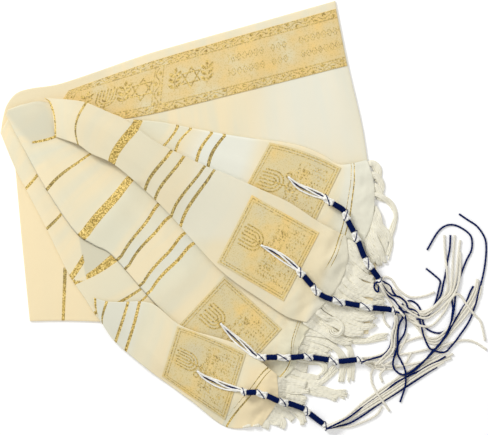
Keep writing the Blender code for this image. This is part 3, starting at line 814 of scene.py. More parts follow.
class Shell:
    """A closed thin sheet: an upper side, the same lower side and a rounded rim.

    A rim is a row of inset and height for each of its rings, both as shares of the wall.
    """

    RIM = ((0.14, 0.15), (0.0, 0.5), (0.14, 0.85))
    DOUBLED_RIM = ((0.2, 0.05), (0.0, 0.15), (0.0, 0.34), (0.25, 0.46), (0.6, 0.5),
                   (0.25, 0.54), (0.0, 0.66), (0.0, 0.85), (0.2, 0.95))

    def __init__(self, outline: Outline, columns: int, rows: int, wall: float) -> None:
        """Keeps the outline, cells and thickness."""
        self.outline, self.columns, self.rows, self.wall = outline, columns, rows, wall
        self.xy = outline.grid(columns, rows, 0.5 * wall)
        self.s, self.t = np.meshgrid(
            np.linspace(0, 1, columns + 1), np.linspace(0, 1, rows + 1), indexing="ij")

    def build(self, top: Array, uv: Array, numbers: dict[str, Array],
              doubled: bool = False) -> tuple[Array, Array, Array, dict[str, Array]]:
        """Gives the points, quads, map and numbers of the shell.

        Args:
            top: height of the upper side at the grid.
            uv: map places at the grid.
            numbers: values at the grid, by name.
            doubled: true for two layers that lie flat on the surface beneath.

        Returns:
            Points, quads, map places and values on all points.
        """
        columns, rows = self.columns, self.rows
        count = (columns + 1) * (rows + 1)
        index = np.arange(count).reshape(columns + 1, rows + 1)
        edge = border_of(columns, rows)
        around = index[edge[:, 0], edge[:, 1]]
        upper = np.dstack([self.xy, top]).reshape(-1, 3)
        lower = upper * [1, 1, 0] if doubled else upper - [0, 0, self.wall]
        rim = self.DOUBLED_RIM if doubled else self.RIM
        points, rings, used = [lower, upper], [around], 2 * count
        for inset, share in rim:
            ring = self.outline.grid(columns, rows, inset * self.wall)[edge[:, 0], edge[:, 1]]
            height = lower[around, 2] + share * (upper[around, 2] - lower[around, 2])
            points.append(np.column_stack([ring, height]))
            rings.append(used + np.arange(len(edge)))
            used += len(edge)
        rings.append(around + count)
        a, b = index[:-1, :-1].ravel(), index[1:, :-1].ravel()
        c, d = index[1:, 1:].ravel(), index[:-1, 1:].ravel()
        faces = [np.stack([a, b, c, d], 1), np.stack([a, d, c, b], 1) + count]
        for low, high in zip(rings, rings[1:]):
            faces.append(np.stack([low, high, np.roll(high, -1), np.roll(low, -1)], 1))
        spread = np.concatenate([np.arange(count), np.arange(count), *[around] * len(rim)])
        flat_uv = uv.reshape(-1, 2)[spread]
        flat = {key: value.ravel()[spread] for key, value in numbers.items()}
        return np.vstack(points), np.vstack(faces), flat_uv, flat


def quads_to_triangles(faces: Array) -> Array:
    """Gives two triangles for each quad."""
    return np.vstack([faces[:, [0, 1, 2]], faces[:, [0, 2, 3]]])


@dataclass(frozen=True)
class StripeRoute:
    """Where a stripe, or a known line across the cloth, runs on one stretch."""

    along: float
    route: Points


@dataclass(frozen=True)
class SoftArea:
    """A convex area with a soft border, which painted shade or painted light covers, or which has no
    stripes.
    """

    corners: Points
    strength: float
    border: float

    def cover(self, xy: Array) -> Array:
        """Gives the cover at each place: a smooth step of the distance to the nearest side."""
        spots = plan(self.corners)
        centre = spots.mean(axis=0)
        inside = np.full(xy.shape[:-1], np.inf)
        for start, end in zip(spots, np.roll(spots, -1, axis=0)):
            normal = np.array([start[1] - end[1], end[0] - start[0]])
            normal /= np.linalg.norm(normal)
            normal = normal if (centre - start) @ normal > 0 else -normal
            inside = np.minimum(inside, (xy - start) @ normal)
        share = np.clip(inside / self.border + 0.5, 0, 1)
        return self.strength * smooth_step(share)


@dataclass(frozen=True)
class Crumple:
    """Uneven folds of a cloth's end, fading out towards the stretch's middle."""

    start: float
    height: float
    size: float
    seed: int
    waves: int = 7
    ramp: float = 0.12

    def raised(self, xy: Array, s: Array) -> Array:
        """Gives the height: waves of several directions added, times a ramp along the stretch."""
        chance = np.random.default_rng(self.seed)
        total = np.zeros(s.shape)
        for order in range(self.waves):
            angle = chance.uniform(0, math.pi)
            length = self.size * chance.uniform(0.7, 1.7)
            phase = chance.uniform(0, 2 * math.pi)
            bend = chance.uniform(0.3, 0.8) * self.size
            across = xy[..., 0] * math.cos(angle) + xy[..., 1] * math.sin(angle)
            other = xy[..., 1] * math.cos(angle) - xy[..., 0] * math.sin(angle)
            bent = across + bend * np.sin(2 * math.pi * other / (3 * length))
            wave = np.sin(2 * math.pi * bent / length + phase)
            total += np.abs(wave) ** 1.5 if order % 2 else wave
        ramp = np.clip((s - self.start) / self.ramp, 0, 1)
        return self.height * (total / 4 + 0.5) * smooth_step(ramp)


def fit_line(t: Array, s: Array, across: Array) -> Array:
    """Gives a smooth share along for each share across, by a line or parabola through crossings.

    Args:
        t: shares across of the crossings.
        s: shares along of the crossings.
        across: the shares across that are asked for.

    Returns:
        The shares along.
    """
    if len(t) < 2 or np.ptp(t) < 0.02:
        return np.full(across.shape, s.mean())
    degree = 2 if len(t) > 2 and np.ptp(t) > 0.5 else 1
    return np.polyval(np.polyfit(t, s, degree), across)


@dataclass
class ClothStretch:
    """One stretch of the shawl's cloth, on the upper side of its solid."""

    SEARCH_CELLS = (400, 120)
    LEAST_GAP = 1e-3
    EASE_CELLS = 4
    FLAT_MARGIN = 1.02

    name: str
    edges: dict[str, Points]
    rests_on: list[str]
    lines: list[StripeRoute]
    creases: list[Crease] = field(default_factory=list)
    crumples: list[Crumple] = field(default_factory=list)
    covers: dict[str, list[SoftArea]] = field(default_factory=dict)
    # Share of painted warm light over the whole stretch.
    painted_warmth: float = LEAST_PAINTED_WARMTH
    cell: float = CLOTH_CELL
    doubled: bool = False

    def along_cloth(self, shell: Shell) -> Array:
        """Gives each point's place along the cloth.

        Each known line crosses the stretch at a share along that varies with the share across.
        Between two lines the place runs evenly, and past the outer ones it keeps its pace.

        Args:
            shell: the stretch's shell.

        Returns:
            Places in steps, from the first fine stripe.
        """
        fine_s, fine_t = np.meshgrid(*(np.linspace(0, 1, count) for count in self.SEARCH_CELLS),
                                     indexing="ij")
        dense = shell.outline.at(fine_s, fine_t).reshape(-1, 2)
        across = np.linspace(0, 1, shell.rows + 1)
        crossings = []
        for line in self.lines:
            spots = plan(line.route)
            nearest = [int(np.linalg.norm(dense - spot, axis=1).argmin()) for spot in spots]
            crossings.append(fit_line(fine_t.ravel()[nearest], fine_s.ravel()[nearest], across))
        found = np.zeros(shell.s.shape)
        for k in range(len(crossings) - 1):
            gap = np.maximum(crossings[k + 1] - crossings[k], self.LEAST_GAP)
            step = self.lines[k + 1].along - self.lines[k].along
            value = self.lines[k].along + (shell.s - crossings[k]) / gap * step
            found = value if k == 0 else np.where(shell.s >= crossings[k], value, found)
        return found

    def heights(self, shell: Shell, pile: HeightMap) -> Array:
        """Gives the upper side: the solid's own, with creases, and clear of what lies beneath."""
        own, eased = node_surface(self.name)
        top = own.sample(shell.xy, eased)
        for crease in self.creases:
            top = top + crease.raised(shell.xy)
        for crumple in self.crumples:
            top = top + crumple.raised(shell.xy, shell.s)
        if self.doubled:
            return np.maximum(top, DOUBLED_WALL)
        below = window_mean(window_max(pile.top, self.EASE_CELLS), self.EASE_CELLS)
        under = pile.sample(shell.xy, below)
        return np.maximum(top, under + CLOTH_WALL + REST_GAP)

    def build(self, pile: HeightMap, material: Material) -> Piece:
        """Makes the stretch and lays it on the pile.

        Args:
            pile: what is laid so far.
            material: the cloth.

        Returns:
            The piece.
        """
        outline = Outline(self.edges)
        shares = np.linspace(0, 1, 40)
        apart = outline.upper.at(shares) - outline.lower.at(shares)
        width = float(np.linalg.norm(apart, axis=1).max())
        length = 0.5 * (outline.upper.length + outline.lower.length)
        columns, rows = int(length / self.cell), int(width / self.cell)
        shell = Shell(outline, columns, rows, CLOTH_WALL)
        top = self.heights(shell, pile)
        along = self.along_cloth(shell)
        numbers = {"along": along}
        for key, areas in self.covers.items():
            least = np.full(top.shape, self.painted_warmth if key == "warm" else 0.0)
            numbers[key] = np.maximum.reduce([least, *(area.cover(shell.xy) for area in areas)])
        uv = np.dstack([along * STEP, shell.t * width])
        points, faces, flat_uv, numbers = shell.build(top, uv, numbers, self.doubled)
        piece = store(f"{self.name}_cloth", points, faces, flat_uv, [material], numbers)
        pile.lay(points, quads_to_triangles(faces))
        dress(piece, self.name)
        size = outline.area()
        length = max(length, self.FLAT_MARGIN * size / width)
        return piece


def dress(piece: Piece, node: str) -> None:
    """Puts a piece in place of its solid, on the one body, and logs its faces."""
    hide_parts(node)
    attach(piece, "root")
    LOG.info("%s: %d faces", piece.name, len(piece.data.polygons))


def frame_along(path: Array, up: Array) -> tuple[Array, Array]:
    """Gives the side and rise directions of a path: unit cross products with its run.

    Args:
        path: the centres.
        up: one direction, or one for each centre, that the path never runs along.

    Returns:
        Unit vectors to the side, and the ones square to them and to the path.
    """
    ahead = np.gradient(path, axis=0)
    ahead /= np.maximum(np.linalg.norm(ahead, axis=1), 1e-9)[:, None]
    side = np.cross(up, ahead)
    side /= np.maximum(np.linalg.norm(side, axis=1), 1e-9)[:, None]
    return side, np.cross(ahead, side)


class Tubes:
    """Tubes of yarn gathered into one mesh."""

    def __init__(self, sides: int = 6) -> None:
        """Starts with none, of this even number of sides."""
        self.sides = sides
        self.points: list[Array] = []
        self.faces: list[Array] = []
        self.uv: list[Array] = []
        self.slots: list[Array] = []
        self.used = 0

    def add(self, path: Array, radius: Array | float, up: Array | None = None,
            slot: int = 0, plies: float = 0.0, turns: float = 0.0, sides: int | None = None) -> None:
        """Adds one tube round a path.

        Each ring is a circle across the path. With plies its radius swells and shrinks round it,
        and the swelling turns as it goes along, as in twisted yarn.

        Args:
            path: the centres.
            radius: one radius, or one for each centre.
            up: a direction for each centre that no ring may face, or none for straight up.
            slot: the material's index.
            plies: how far the radius swells, as a share.
            turns: turns of the swelling to a metre.
            sides: another number of sides.
        """
        sides = sides or self.sides
        count = len(path)
        side, rise = frame_along(path, np.array([0.0, 0.0, 1.0]) if up is None else up)
        along = lengths_along(path)
        angle = np.arange(sides) * 2 * math.pi / sides
        swell = 1 + plies * np.cos(2 * (angle[None, :] - 2 * math.pi * turns * along[:, None]))
        spread = np.broadcast_to(np.asarray(radius, float), (count,))[:, None] * swell
        ring = (path[:, None, :] + (spread * np.cos(angle))[..., None] * side[:, None, :]
                + (spread * np.sin(angle))[..., None] * rise[:, None, :])
        index = self.used + np.arange(count * sides).reshape(count, sides)
        low, high = index[:-1], index[1:]
        walls = np.stack([low, np.roll(low, -1, 1), np.roll(high, -1, 1), high], axis=-1).reshape(-1, 4)
        caps = []
        for ends, flip in ((index[0], True), (index[-1], False)):
            for k in range(1, sides // 2):
                cap = [ends[k - 1], ends[k], ends[sides - k - 1], ends[sides - k]]
                caps.append(cap[::-1] if flip else cap)
        self.points.append(ring.reshape(-1, 3))
        self.faces.append(np.vstack([walls, np.array(caps)]))
        places = np.broadcast_arrays(angle[None, :] / (2 * math.pi), along[:, None])
        self.uv.append(np.stack(places, axis=-1).reshape(-1, 2))
        self.slots.append(np.full(len(walls) + len(caps), slot))
        self.used += count * sides

    def store(self, name: str, materials: list[Material]) -> Piece:
        """Makes the object."""
        return store(name, np.vstack(self.points), np.vstack(self.faces), np.vstack(self.uv), materials,
                     slots=np.concatenate(self.slots))


def along_window(values: Array, reach: int, highest: bool) -> Array:
    """Gives the highest or mean value within this many samples along a path."""
    held = np.pad(values, reach, mode="edge")
    windows = np.stack([held[k:k + len(values)] for k in range(2 * reach + 1)])
    return windows.max(axis=0) if highest else windows.mean(axis=0)


def lay_yarn(pile: HeightMap, route: Array, radius: float, spacing: float = 0.002,
             ease: float = 0.004, squeeze: float = 0.6, first: float | None = None) -> Array:
    """Lays a yarn on the pile.

    Its height is the pile's under it, carried over short dips and eased along, plus its radius.

    Args:
        pile: what is laid so far.
        route: plan places.
        radius: the yarn's radius.
        spacing: metres between samples.
        ease: metres over which it bridges.
        squeeze: share of the radius that the next yarn stands above this one's centre.
        first: height of the first centre, where it is held.

    Returns:
        The centres.
    """
    path = evenly(route, spacing, 4)
    under = pile.sample(path)
    reach = max(1, int(round(ease / spacing)))
    under = along_window(along_window(under, reach, True), reach, False)
    height = np.maximum(under, pile.sample(path)) + radius + REST_GAP
    if first is not None:
        along = np.linspace(0, 1, len(path)) * (len(path) - 1) * spacing
        fade = np.clip(1 - along / HELD_LENGTH, 0, 1)
        height = np.maximum(height, fade * first)
    centres = np.column_stack([path, height])
    fine = evenly(centres, 0.5 * MAP_CELL, 4)
    fine[:, 2] += squeeze * radius
    pile.raise_to(fine)
    return centres


def near(value: Array, width: float, soft: float) -> Array:
    """Gives 1 where a signed distance is within this width, falling to 0 over the soft length."""
    return np.clip((width - np.abs(value)) / soft + 0.5, 0, 1)


class Motifs:
    """Woven figures, each a cover from 0 to 1 over places in metres, with y running down."""

    SOFT = 0.0006
    LINE = 0.0010
    THIN_LINE = 0.0006
    BUD_SOFT = 0.35
    LEAF_SOFT = 0.4

    @classmethod
    def bar(cls, x: Array, y: Array, half_x: float, half_y: float) -> Array:
        """Gives a bar: 1 within these half widths of both axes."""
        return near(x, half_x, cls.SOFT) * near(y, half_y, cls.SOFT)

    @classmethod
    def star(cls, x: Array, y: Array, size: float) -> Array:
        """Gives a six-point star: the outlines of two triangles, each the farthest of three sides."""
        found = np.zeros(x.shape)
        for turn in (0.0, math.pi):
            angles = [turn + k * 2 * math.pi / 3 for k in range(3)]
            sides = [x * math.sin(angle) + y * math.cos(angle) for angle in angles]
            farthest = np.maximum.reduce(sides)
            found = np.maximum(found, near(farthest - 0.5 * size, 0.9 * cls.LINE, cls.SOFT))
        return found

    @classmethod
    def menorah(cls, x: Array, y: Array, size: float) -> Array:
        """Gives a seven-branched lamp: half rings below straight arms, a stem and a stepped foot."""
        found = cls.bar(x, y - 0.1 * size, cls.LINE, 0.62 * size)
        radius = np.hypot(x, y)
        for share in (0.17, 0.33, 0.49):
            ring = near(radius - share * size, cls.LINE, cls.SOFT) * (y > 0)
            arm = cls.bar(np.abs(x) - share * size, y + 0.25 * size, cls.LINE, 0.27 * size)
            found = np.maximum(found, np.maximum(ring, arm))
        for level, half in ((0.66, 0.16), (0.73, 0.28)):
            found = np.maximum(found, cls.bar(x, y - level * size, half * size, 0.7 * cls.LINE))
        row = cls.bar(x, y + 0.55 * size, 0.56 * size, 1.2 * cls.LINE)
        cups = near(np.sin(x / (0.163 * size) * math.pi + 0.5 * math.pi) - 1, 0.5, 0.3)
        return np.maximum(found, row * cups)

    @classmethod
    def sprig(cls, x: Array, y: Array, size: float) -> Array:
        """Gives a leafy sprig: a stem with pairs of slanting oval leaves and one at its tip."""
        found = cls.bar(x, y, 0.5 * cls.LINE, 0.5 * size)
        for level in (-0.28, 0.0, 0.28):
            for hand in (-1, 1):
                a, b = x - hand * 0.17 * size, y - level * size + 0.05 * size
                long = (a * hand - b) * math.sqrt(0.5)
                wide = (a * hand + b) * math.sqrt(0.5)
                leaf = np.hypot(long / 0.19, wide / 0.075) / size
                found = np.maximum(found, near(leaf, 1.0, cls.LEAF_SOFT))
        tip = np.hypot(x / 0.075, (y + 0.52 * size) / 0.15) / size
        return np.maximum(found, near(tip, 1.0, cls.LEAF_SOFT))

    @classmethod
    def lozenges(cls, x: Array, y: Array, pitch: Range, seed: int) -> Array:
        """Gives rows of small woven lozenges and leaves of uneven size, some left out."""
        a, b, chance = cls.cells(x, y, pitch, seed)
        return np.clip((0.45 + 0.45 * chance - a - b * 0.8) / 0.25, 0, 1) * (chance > 0.18)

    @classmethod
    def marks(cls, x: Array, y: Array, pitch: Range, seed: int) -> Array:
        """Gives rows of open lozenges of uneven size, each with a dot in its middle."""
        a, b, chance = cls.cells(x, y, pitch, seed)
        away = a + 0.7 * b - 0.62 - 0.25 * chance
        return np.maximum(near(away, 0.13, 0.12), near(a + b, 0.22, 0.1)) * (chance > 0.1)

    @classmethod
    def cells(cls, x: Array, y: Array, pitch: Range,
              seed: int) -> tuple[Array, Array, Array]:
        """Gives the distances from each cell's middle, as shares, and one scattered number a cell."""
        column, row = np.floor(x / pitch[0]), np.floor(y / pitch[1])
        chance = np.sin(column * 12.9898 + row * 78.233 + seed) * 43758.5453
        chance -= np.floor(chance)
        return np.abs(x / pitch[0] - column - 0.5) * 2, np.abs(y / pitch[1] - row - 0.5) * 2, chance

    @classmethod
    def vine(cls, along: Array, across: Array, width: float) -> Array:
        """Gives a scrolling border: two fine lines, and between them a wave with a bud in each bend."""
        found = np.maximum(near(across - 0.0008, cls.THIN_LINE, cls.SOFT),
                           near(across - width, cls.THIN_LINE, cls.SOFT))
        middle, swing, pitch = 0.5 * width, 0.25 * width, 1.15 * width
        turn = math.pi * along / pitch
        wave = near(across - middle - swing * np.sin(turn), 0.7 * cls.LINE, cls.SOFT)
        bud_along = (along / pitch - np.floor(along / pitch) - 0.5) * pitch
        side = np.where(np.floor(along / pitch) % 2 == 0, -1.0, 1.0)
        bud = np.hypot(bud_along / 0.26, (across - middle - side * 0.2 * width) / 0.17) / width
        inside = near(across - middle, 0.46 * width, cls.SOFT)
        return np.maximum(found, inside * np.maximum(wave, near(bud, 1.0, cls.BUD_SOFT)))


def lay_trim(name: str, node: str, shell: Shell, top: Array, figure: Array,
             size: Range, pile: HeightMap, material: Material) -> Piece:
    """Makes a sewn piece of brocade and lays it on the pile.

    Args:
        name: the piece's name.
        node: the solid that it replaces.
        shell: the piece's shell.
        top: height of its upper side.
        figure: cover of its gold figures.
        size: length and width in metres.
        pile: what is laid so far.
        material: the brocade.

    Returns:
        The piece.
    """
    uv = np.dstack([shell.s * size[0], shell.t * size[1]])
    points, faces, flat_uv, numbers = shell.build(top, uv, {"figure": figure})
    piece = store(name, points, faces, flat_uv, [material], numbers)
    pile.lay(points, quads_to_triangles(faces))
    dress(piece, node)
    return piece


@dataclass
class CornerPatch:
    """A square brocade patch near a corner, with a ring round its eyelet."""

    number: str
    corners: Points
    bow: float
    eyelet: tuple[float, float]
    cell: float = TRIM_CELL
    border: tuple[float, ...] = (0.003, 0.0064)
    lamp: float = 0.029
    lamp_share: float = 0.27
    ring: float = 0.0034
    ring_clear: float = 0.006

    def eyelet_shares(self) -> Array:
        """Gives the eyelet's shares along and across, on the corner's two sides as axes."""
        square = np.array(self.corners, float)
        sides = np.column_stack([square[1] - square[0], square[3] - square[0]])
        return np.linalg.solve(sides, np.array(self.eyelet) - square[0])

    def outline(self) -> Outline:
        """Gives the patch's outline, whose upper edge bows outward."""
        first, second, third, fourth = (np.array(corner, float) for corner in self.corners)
        edge = second - first
        out = np.array([edge[1], -edge[0]]) / np.linalg.norm(edge)
        quarter, three = (first + share * edge + 0.75 * self.bow * out for share in (0.25, 0.75))
        middle = (first + second) / 2 + self.bow * out
        return Outline({"upper": [first, quarter, middle, three, second], "lower": [fourth, third],
                        "left": [first, fourth], "right": [second, third]})

    def figure(self, s: Array, t: Array, size: float) -> Array:
        """Gives the gold figures: double border, lamp, speckled rows and the eyelet's ring."""
        edge = np.minimum(np.minimum(s, 1 - s), np.minimum(t, 1 - t)) * size
        found = np.maximum.reduce([near(edge - inset, Motifs.THIN_LINE, Motifs.SOFT)
                                   for inset in self.border])
        lamp = Motifs.menorah((t - 0.5) * size, (s - self.lamp_share) * size, self.lamp)
        found = np.maximum(found, lamp)
        along, across = s * size, t * size
        wander = 0.0009 * np.sin(across * 700) + 0.0007 * np.sin(along * 1300 + across * 400)
        rows = Motifs.lozenges(along + wander, across + wander, (0.0040, 0.0052), 3)
        lines = Motifs.lozenges(along + wander, across, (0.0062, 0.0034), 9) * near(s - 0.52, 0.16, 0.03)
        rows = np.maximum(rows, lines * near(t - 0.5, 0.30, 0.03))
        filled = near(s - 0.7, 0.21, 0.02) * near(t - 0.5, 0.38, 0.02)
        eyelet_s, eyelet_t = self.eyelet_shares()
        away = np.hypot((s - eyelet_s) * size, (t - eyelet_t) * size)
        found = np.maximum(found, 0.9 * rows * filled * (away > self.ring_clear))
        return np.maximum(found, near(away - self.ring, 0.9 * Motifs.LINE, Motifs.SOFT))

    def build(self, pile: HeightMap, material: Material) -> Piece:
        """Makes the patch on its stretch and lays it on the pile."""
        outline = self.outline()
        size = outline.upper.length
        count = int(size / self.cell)
        shell = Shell(outline, count, count, TRIM_WALL)
        eased = window_mean(window_mean(pile.top, 2), 1)
        top = pile.sample(shell.xy, eased) + TRIM_WALL + 2 * REST_GAP
        top = np.maximum(top, pile.sample(shell.xy) + TRIM_WALL + REST_GAP)
        figure = self.figure(shell.s, shell.t, size)
        piece = lay_trim(f"patch_{self.number}_brocade", f"patch_{self.number}", shell, top, figure,
                         (size, size), pile, material)
        width = outline.left.length
        area = min(outline.area(), width * size)
        return piece


@dataclass
class Neckband:
    """The brocade band sewn along the neck edge."""

    EMBLEMS = ((85, Motifs.sprig, 0.030), (106, Motifs.menorah, 0.027), (124, Motifs.sprig, 0.030),
               (142, Motifs.star, 0.016), (175, Motifs.sprig, 0.028), (191, Motifs.star, 0.014),
               (207, Motifs.sprig, 0.028))

    edges: dict[str, Points]
    cell: float = TRIM_CELL
    border: float = 0.0112
    bars: tuple[float, ...] = (66.0, 157.5)
    bar_half: float = 0.0072
    bar_vine: Range = (0.0062, 0.0124)
    rows_start: float = 228.0
    row_levels: tuple[float, ...] = (-0.0105, 0.0085)
    row_half: float = 0.0051

    def spot(self, outline: Outline, step_across: float) -> float:
        """Gives the share along at which the band's middle line reaches this picture step."""
        shares = np.linspace(0, 1, 400)
        middle = outline.at(shares, np.full(shares.shape, 0.5))
        return float(np.interp(ORIGIN_X + step_across * STEP, middle[:, 0], shares))

    def figure(self, outline: Outline, s: Array, t: Array,
               length: float, width: float) -> Array:
        """Gives the gold figures: scroll borders and bars, a few emblems, and two lozenge rows."""
        along, across = s * length, t * width
        found = Motifs.vine(along, across, self.border)
        found = np.maximum(found, Motifs.vine(along, width - across, self.border))
        inner = near(t - 0.5, 0.5 - self.border / width - 0.01, 0.02)
        wander = 0.0008 * np.sin(along * 900) + 0.0006 * np.sin(across * 1700 + along * 300)
        fine = Motifs.lozenges(along + wander, across + wander, (0.0031, 0.0027), 5)
        found = np.maximum(found, 0.75 * fine * (1 - inner))
        shift, vine_width = self.bar_vine
        for step in self.bars:
            x = (s - self.spot(outline, step)) * length
            bar = inner * near(x, self.bar_half, Motifs.SOFT)
            found = np.maximum(found, bar * Motifs.vine(across, x + shift, vine_width))
        y = across - 0.5 * width
        for step, kind, size in self.EMBLEMS:
            x = (s - self.spot(outline, step)) * length
            found = np.maximum(found, kind(x, y, size))
        start = self.spot(outline, self.rows_start)
        for level in self.row_levels:
            row = Motifs.marks(along, y - level + 0.0052, (0.0078, 0.0104), 7)
            found = np.maximum(found, row * near(y - level, self.row_half, 0.0004) * (s > start))
        return found

    def build(self, pile: HeightMap, material: Material) -> Piece:
        """Makes the band on the back panel and lays it on the pile."""
        outline = Outline(self.edges)
        length = 0.5 * (outline.upper.length + outline.lower.length)
        width = outline.right.length
        shell = Shell(outline, int(length / self.cell), int(width / self.cell), TRIM_WALL)
        eased = window_mean(window_mean(pile.top, 2), 1)
        top = np.maximum(pile.sample(shell.xy, eased), pile.sample(shell.xy))
        top = top + TRIM_WALL + 2 * REST_GAP
        figure = self.figure(outline, shell.s, shell.t, length, width)
        piece = lay_trim("neckband_brocade", "neckband", shell, top, figure, (length, width),
                         pile, material)
        area = min(outline.area(), width * length)
        return piece


def side_vectors(path: Array) -> Array:
    """Gives unit vectors to the left of a plan path, at each of its points."""
    ahead = np.gradient(path, axis=0)
    ahead /= np.linalg.norm(ahead, axis=1)[:, None]
    return np.column_stack([-ahead[:, 1], ahead[:, 0]])


@dataclass
class Fringe:
    """The fringe along the end of one stretch: locks of several soft yarns, lying loosely."""

    number: str
    edge: Points
    locks: list[tuple[float, Points]]
    yarn_radius: float = 0.00110
    yarn_spacing: float = 0.00150
    sink: float = 0.0050
    sink_length: float = 0.016
    inside: int = 3
    twist: float = 0.034
    swell: float = 0.20
    wave: float = 0.0004
    fray: float = 0.0016
    fray_start: float = 0.75
    arch: float = 0.0009
    tilt: float = 0.0005
    plies: float = 0.10
    turns: float = 150.0

    def from_edge(self, route: Points) -> Array:
        """Gives a lock's route from its nearest place to the cloth's edge, less a few millimetres."""
        path = evenly(plan(route), 0.001, 8)
        rail = Rail(plan(self.edge)).points
        gaps = np.linalg.norm(path[:, None] - rail[None], axis=2).min(axis=1)
        return path[max(0, int(gaps[:len(path) // 2].argmin()) - self.inside):]

    def build(self, pile: HeightMap, beneath: Array, material: Material) -> Piece:
        """Makes the fringe.

        Each lock's width swells and shrinks as it turns, and its yarns lie side by side on a low
        arch. The root starts under the cloth, above what lies beneath that, and rises outward.
        """
        chance = np.random.default_rng(sum(map(ord, self.number)) * 7)
        tubes = Tubes(6)
        for width, route in self.locks:
            path = evenly(self.from_edge(route)[::4], 0.003, 5)
            middle = lay_yarn(pile, path, self.yarn_radius, 0.0025, 0.005, 0.1)
            along = lengths_along(middle[:, :2])
            share = along / along[-1]
            sides = side_vectors(middle[:, :2])
            phase = chance.uniform(0, 2 * math.pi)
            pace = self.twist * chance.uniform(0.8, 1.5)
            turning = np.sin(2 * math.pi * along / pace + phase)
            half = 0.5 * width * STEP * (1 - self.swell + self.swell * turning)
            count = max(2, int(round(width * STEP / self.yarn_spacing)))
            under = self.sink * np.clip(1 - along / self.sink_length, 0, 1)
            for yarn in range(count):
                across = 2 * (yarn + 0.5) / count - 1
                waving = share * chance.uniform(0.8, 2.2) + chance.uniform(0, 1)
                wave = self.wave * np.sin(2 * math.pi * waving)
                fraying = np.clip((share - self.fray_start) / (1 - self.fray_start), 0, 1)
                fray = self.fray * chance.normal() * fraying ** 2
                arch = self.arch * (1 - across ** 2) + self.tilt * across * turning
                path = middle[:, :2] + (across * half + wave + fray)[:, None] * sides
                least = pile.sample(path, beneath) + 0.8 * self.yarn_radius + REST_GAP
                height = np.maximum(middle[:, 2] + arch - under, least)
                keep = max(4, int(len(path) * chance.uniform(0.93, 1.0)))
                centres = np.column_stack([path, height])[:keep]
                radius = self.yarn_radius * chance.uniform(0.92, 1.12)
                tubes.add(centres, radius, plies=self.plies, turns=self.turns)
                raised = evenly(centres, MAP_CELL, 4)
                raised[:, 2] += 0.2 * self.yarn_radius
                pile.raise_to(raised)
        piece = tubes.store(f"fringe_{self.number}_yarn", [material])
        dress(piece, f"fringe_{self.number}")
        return piece


class Hue(Enum):
    """The colours of tzitzit strand, as material places on the piece."""

    # The loose strands' white: the same yarn as the knots, painted darker as shade.
    WHITE = 0
    NAVY = 1
    BRIGHT = 2


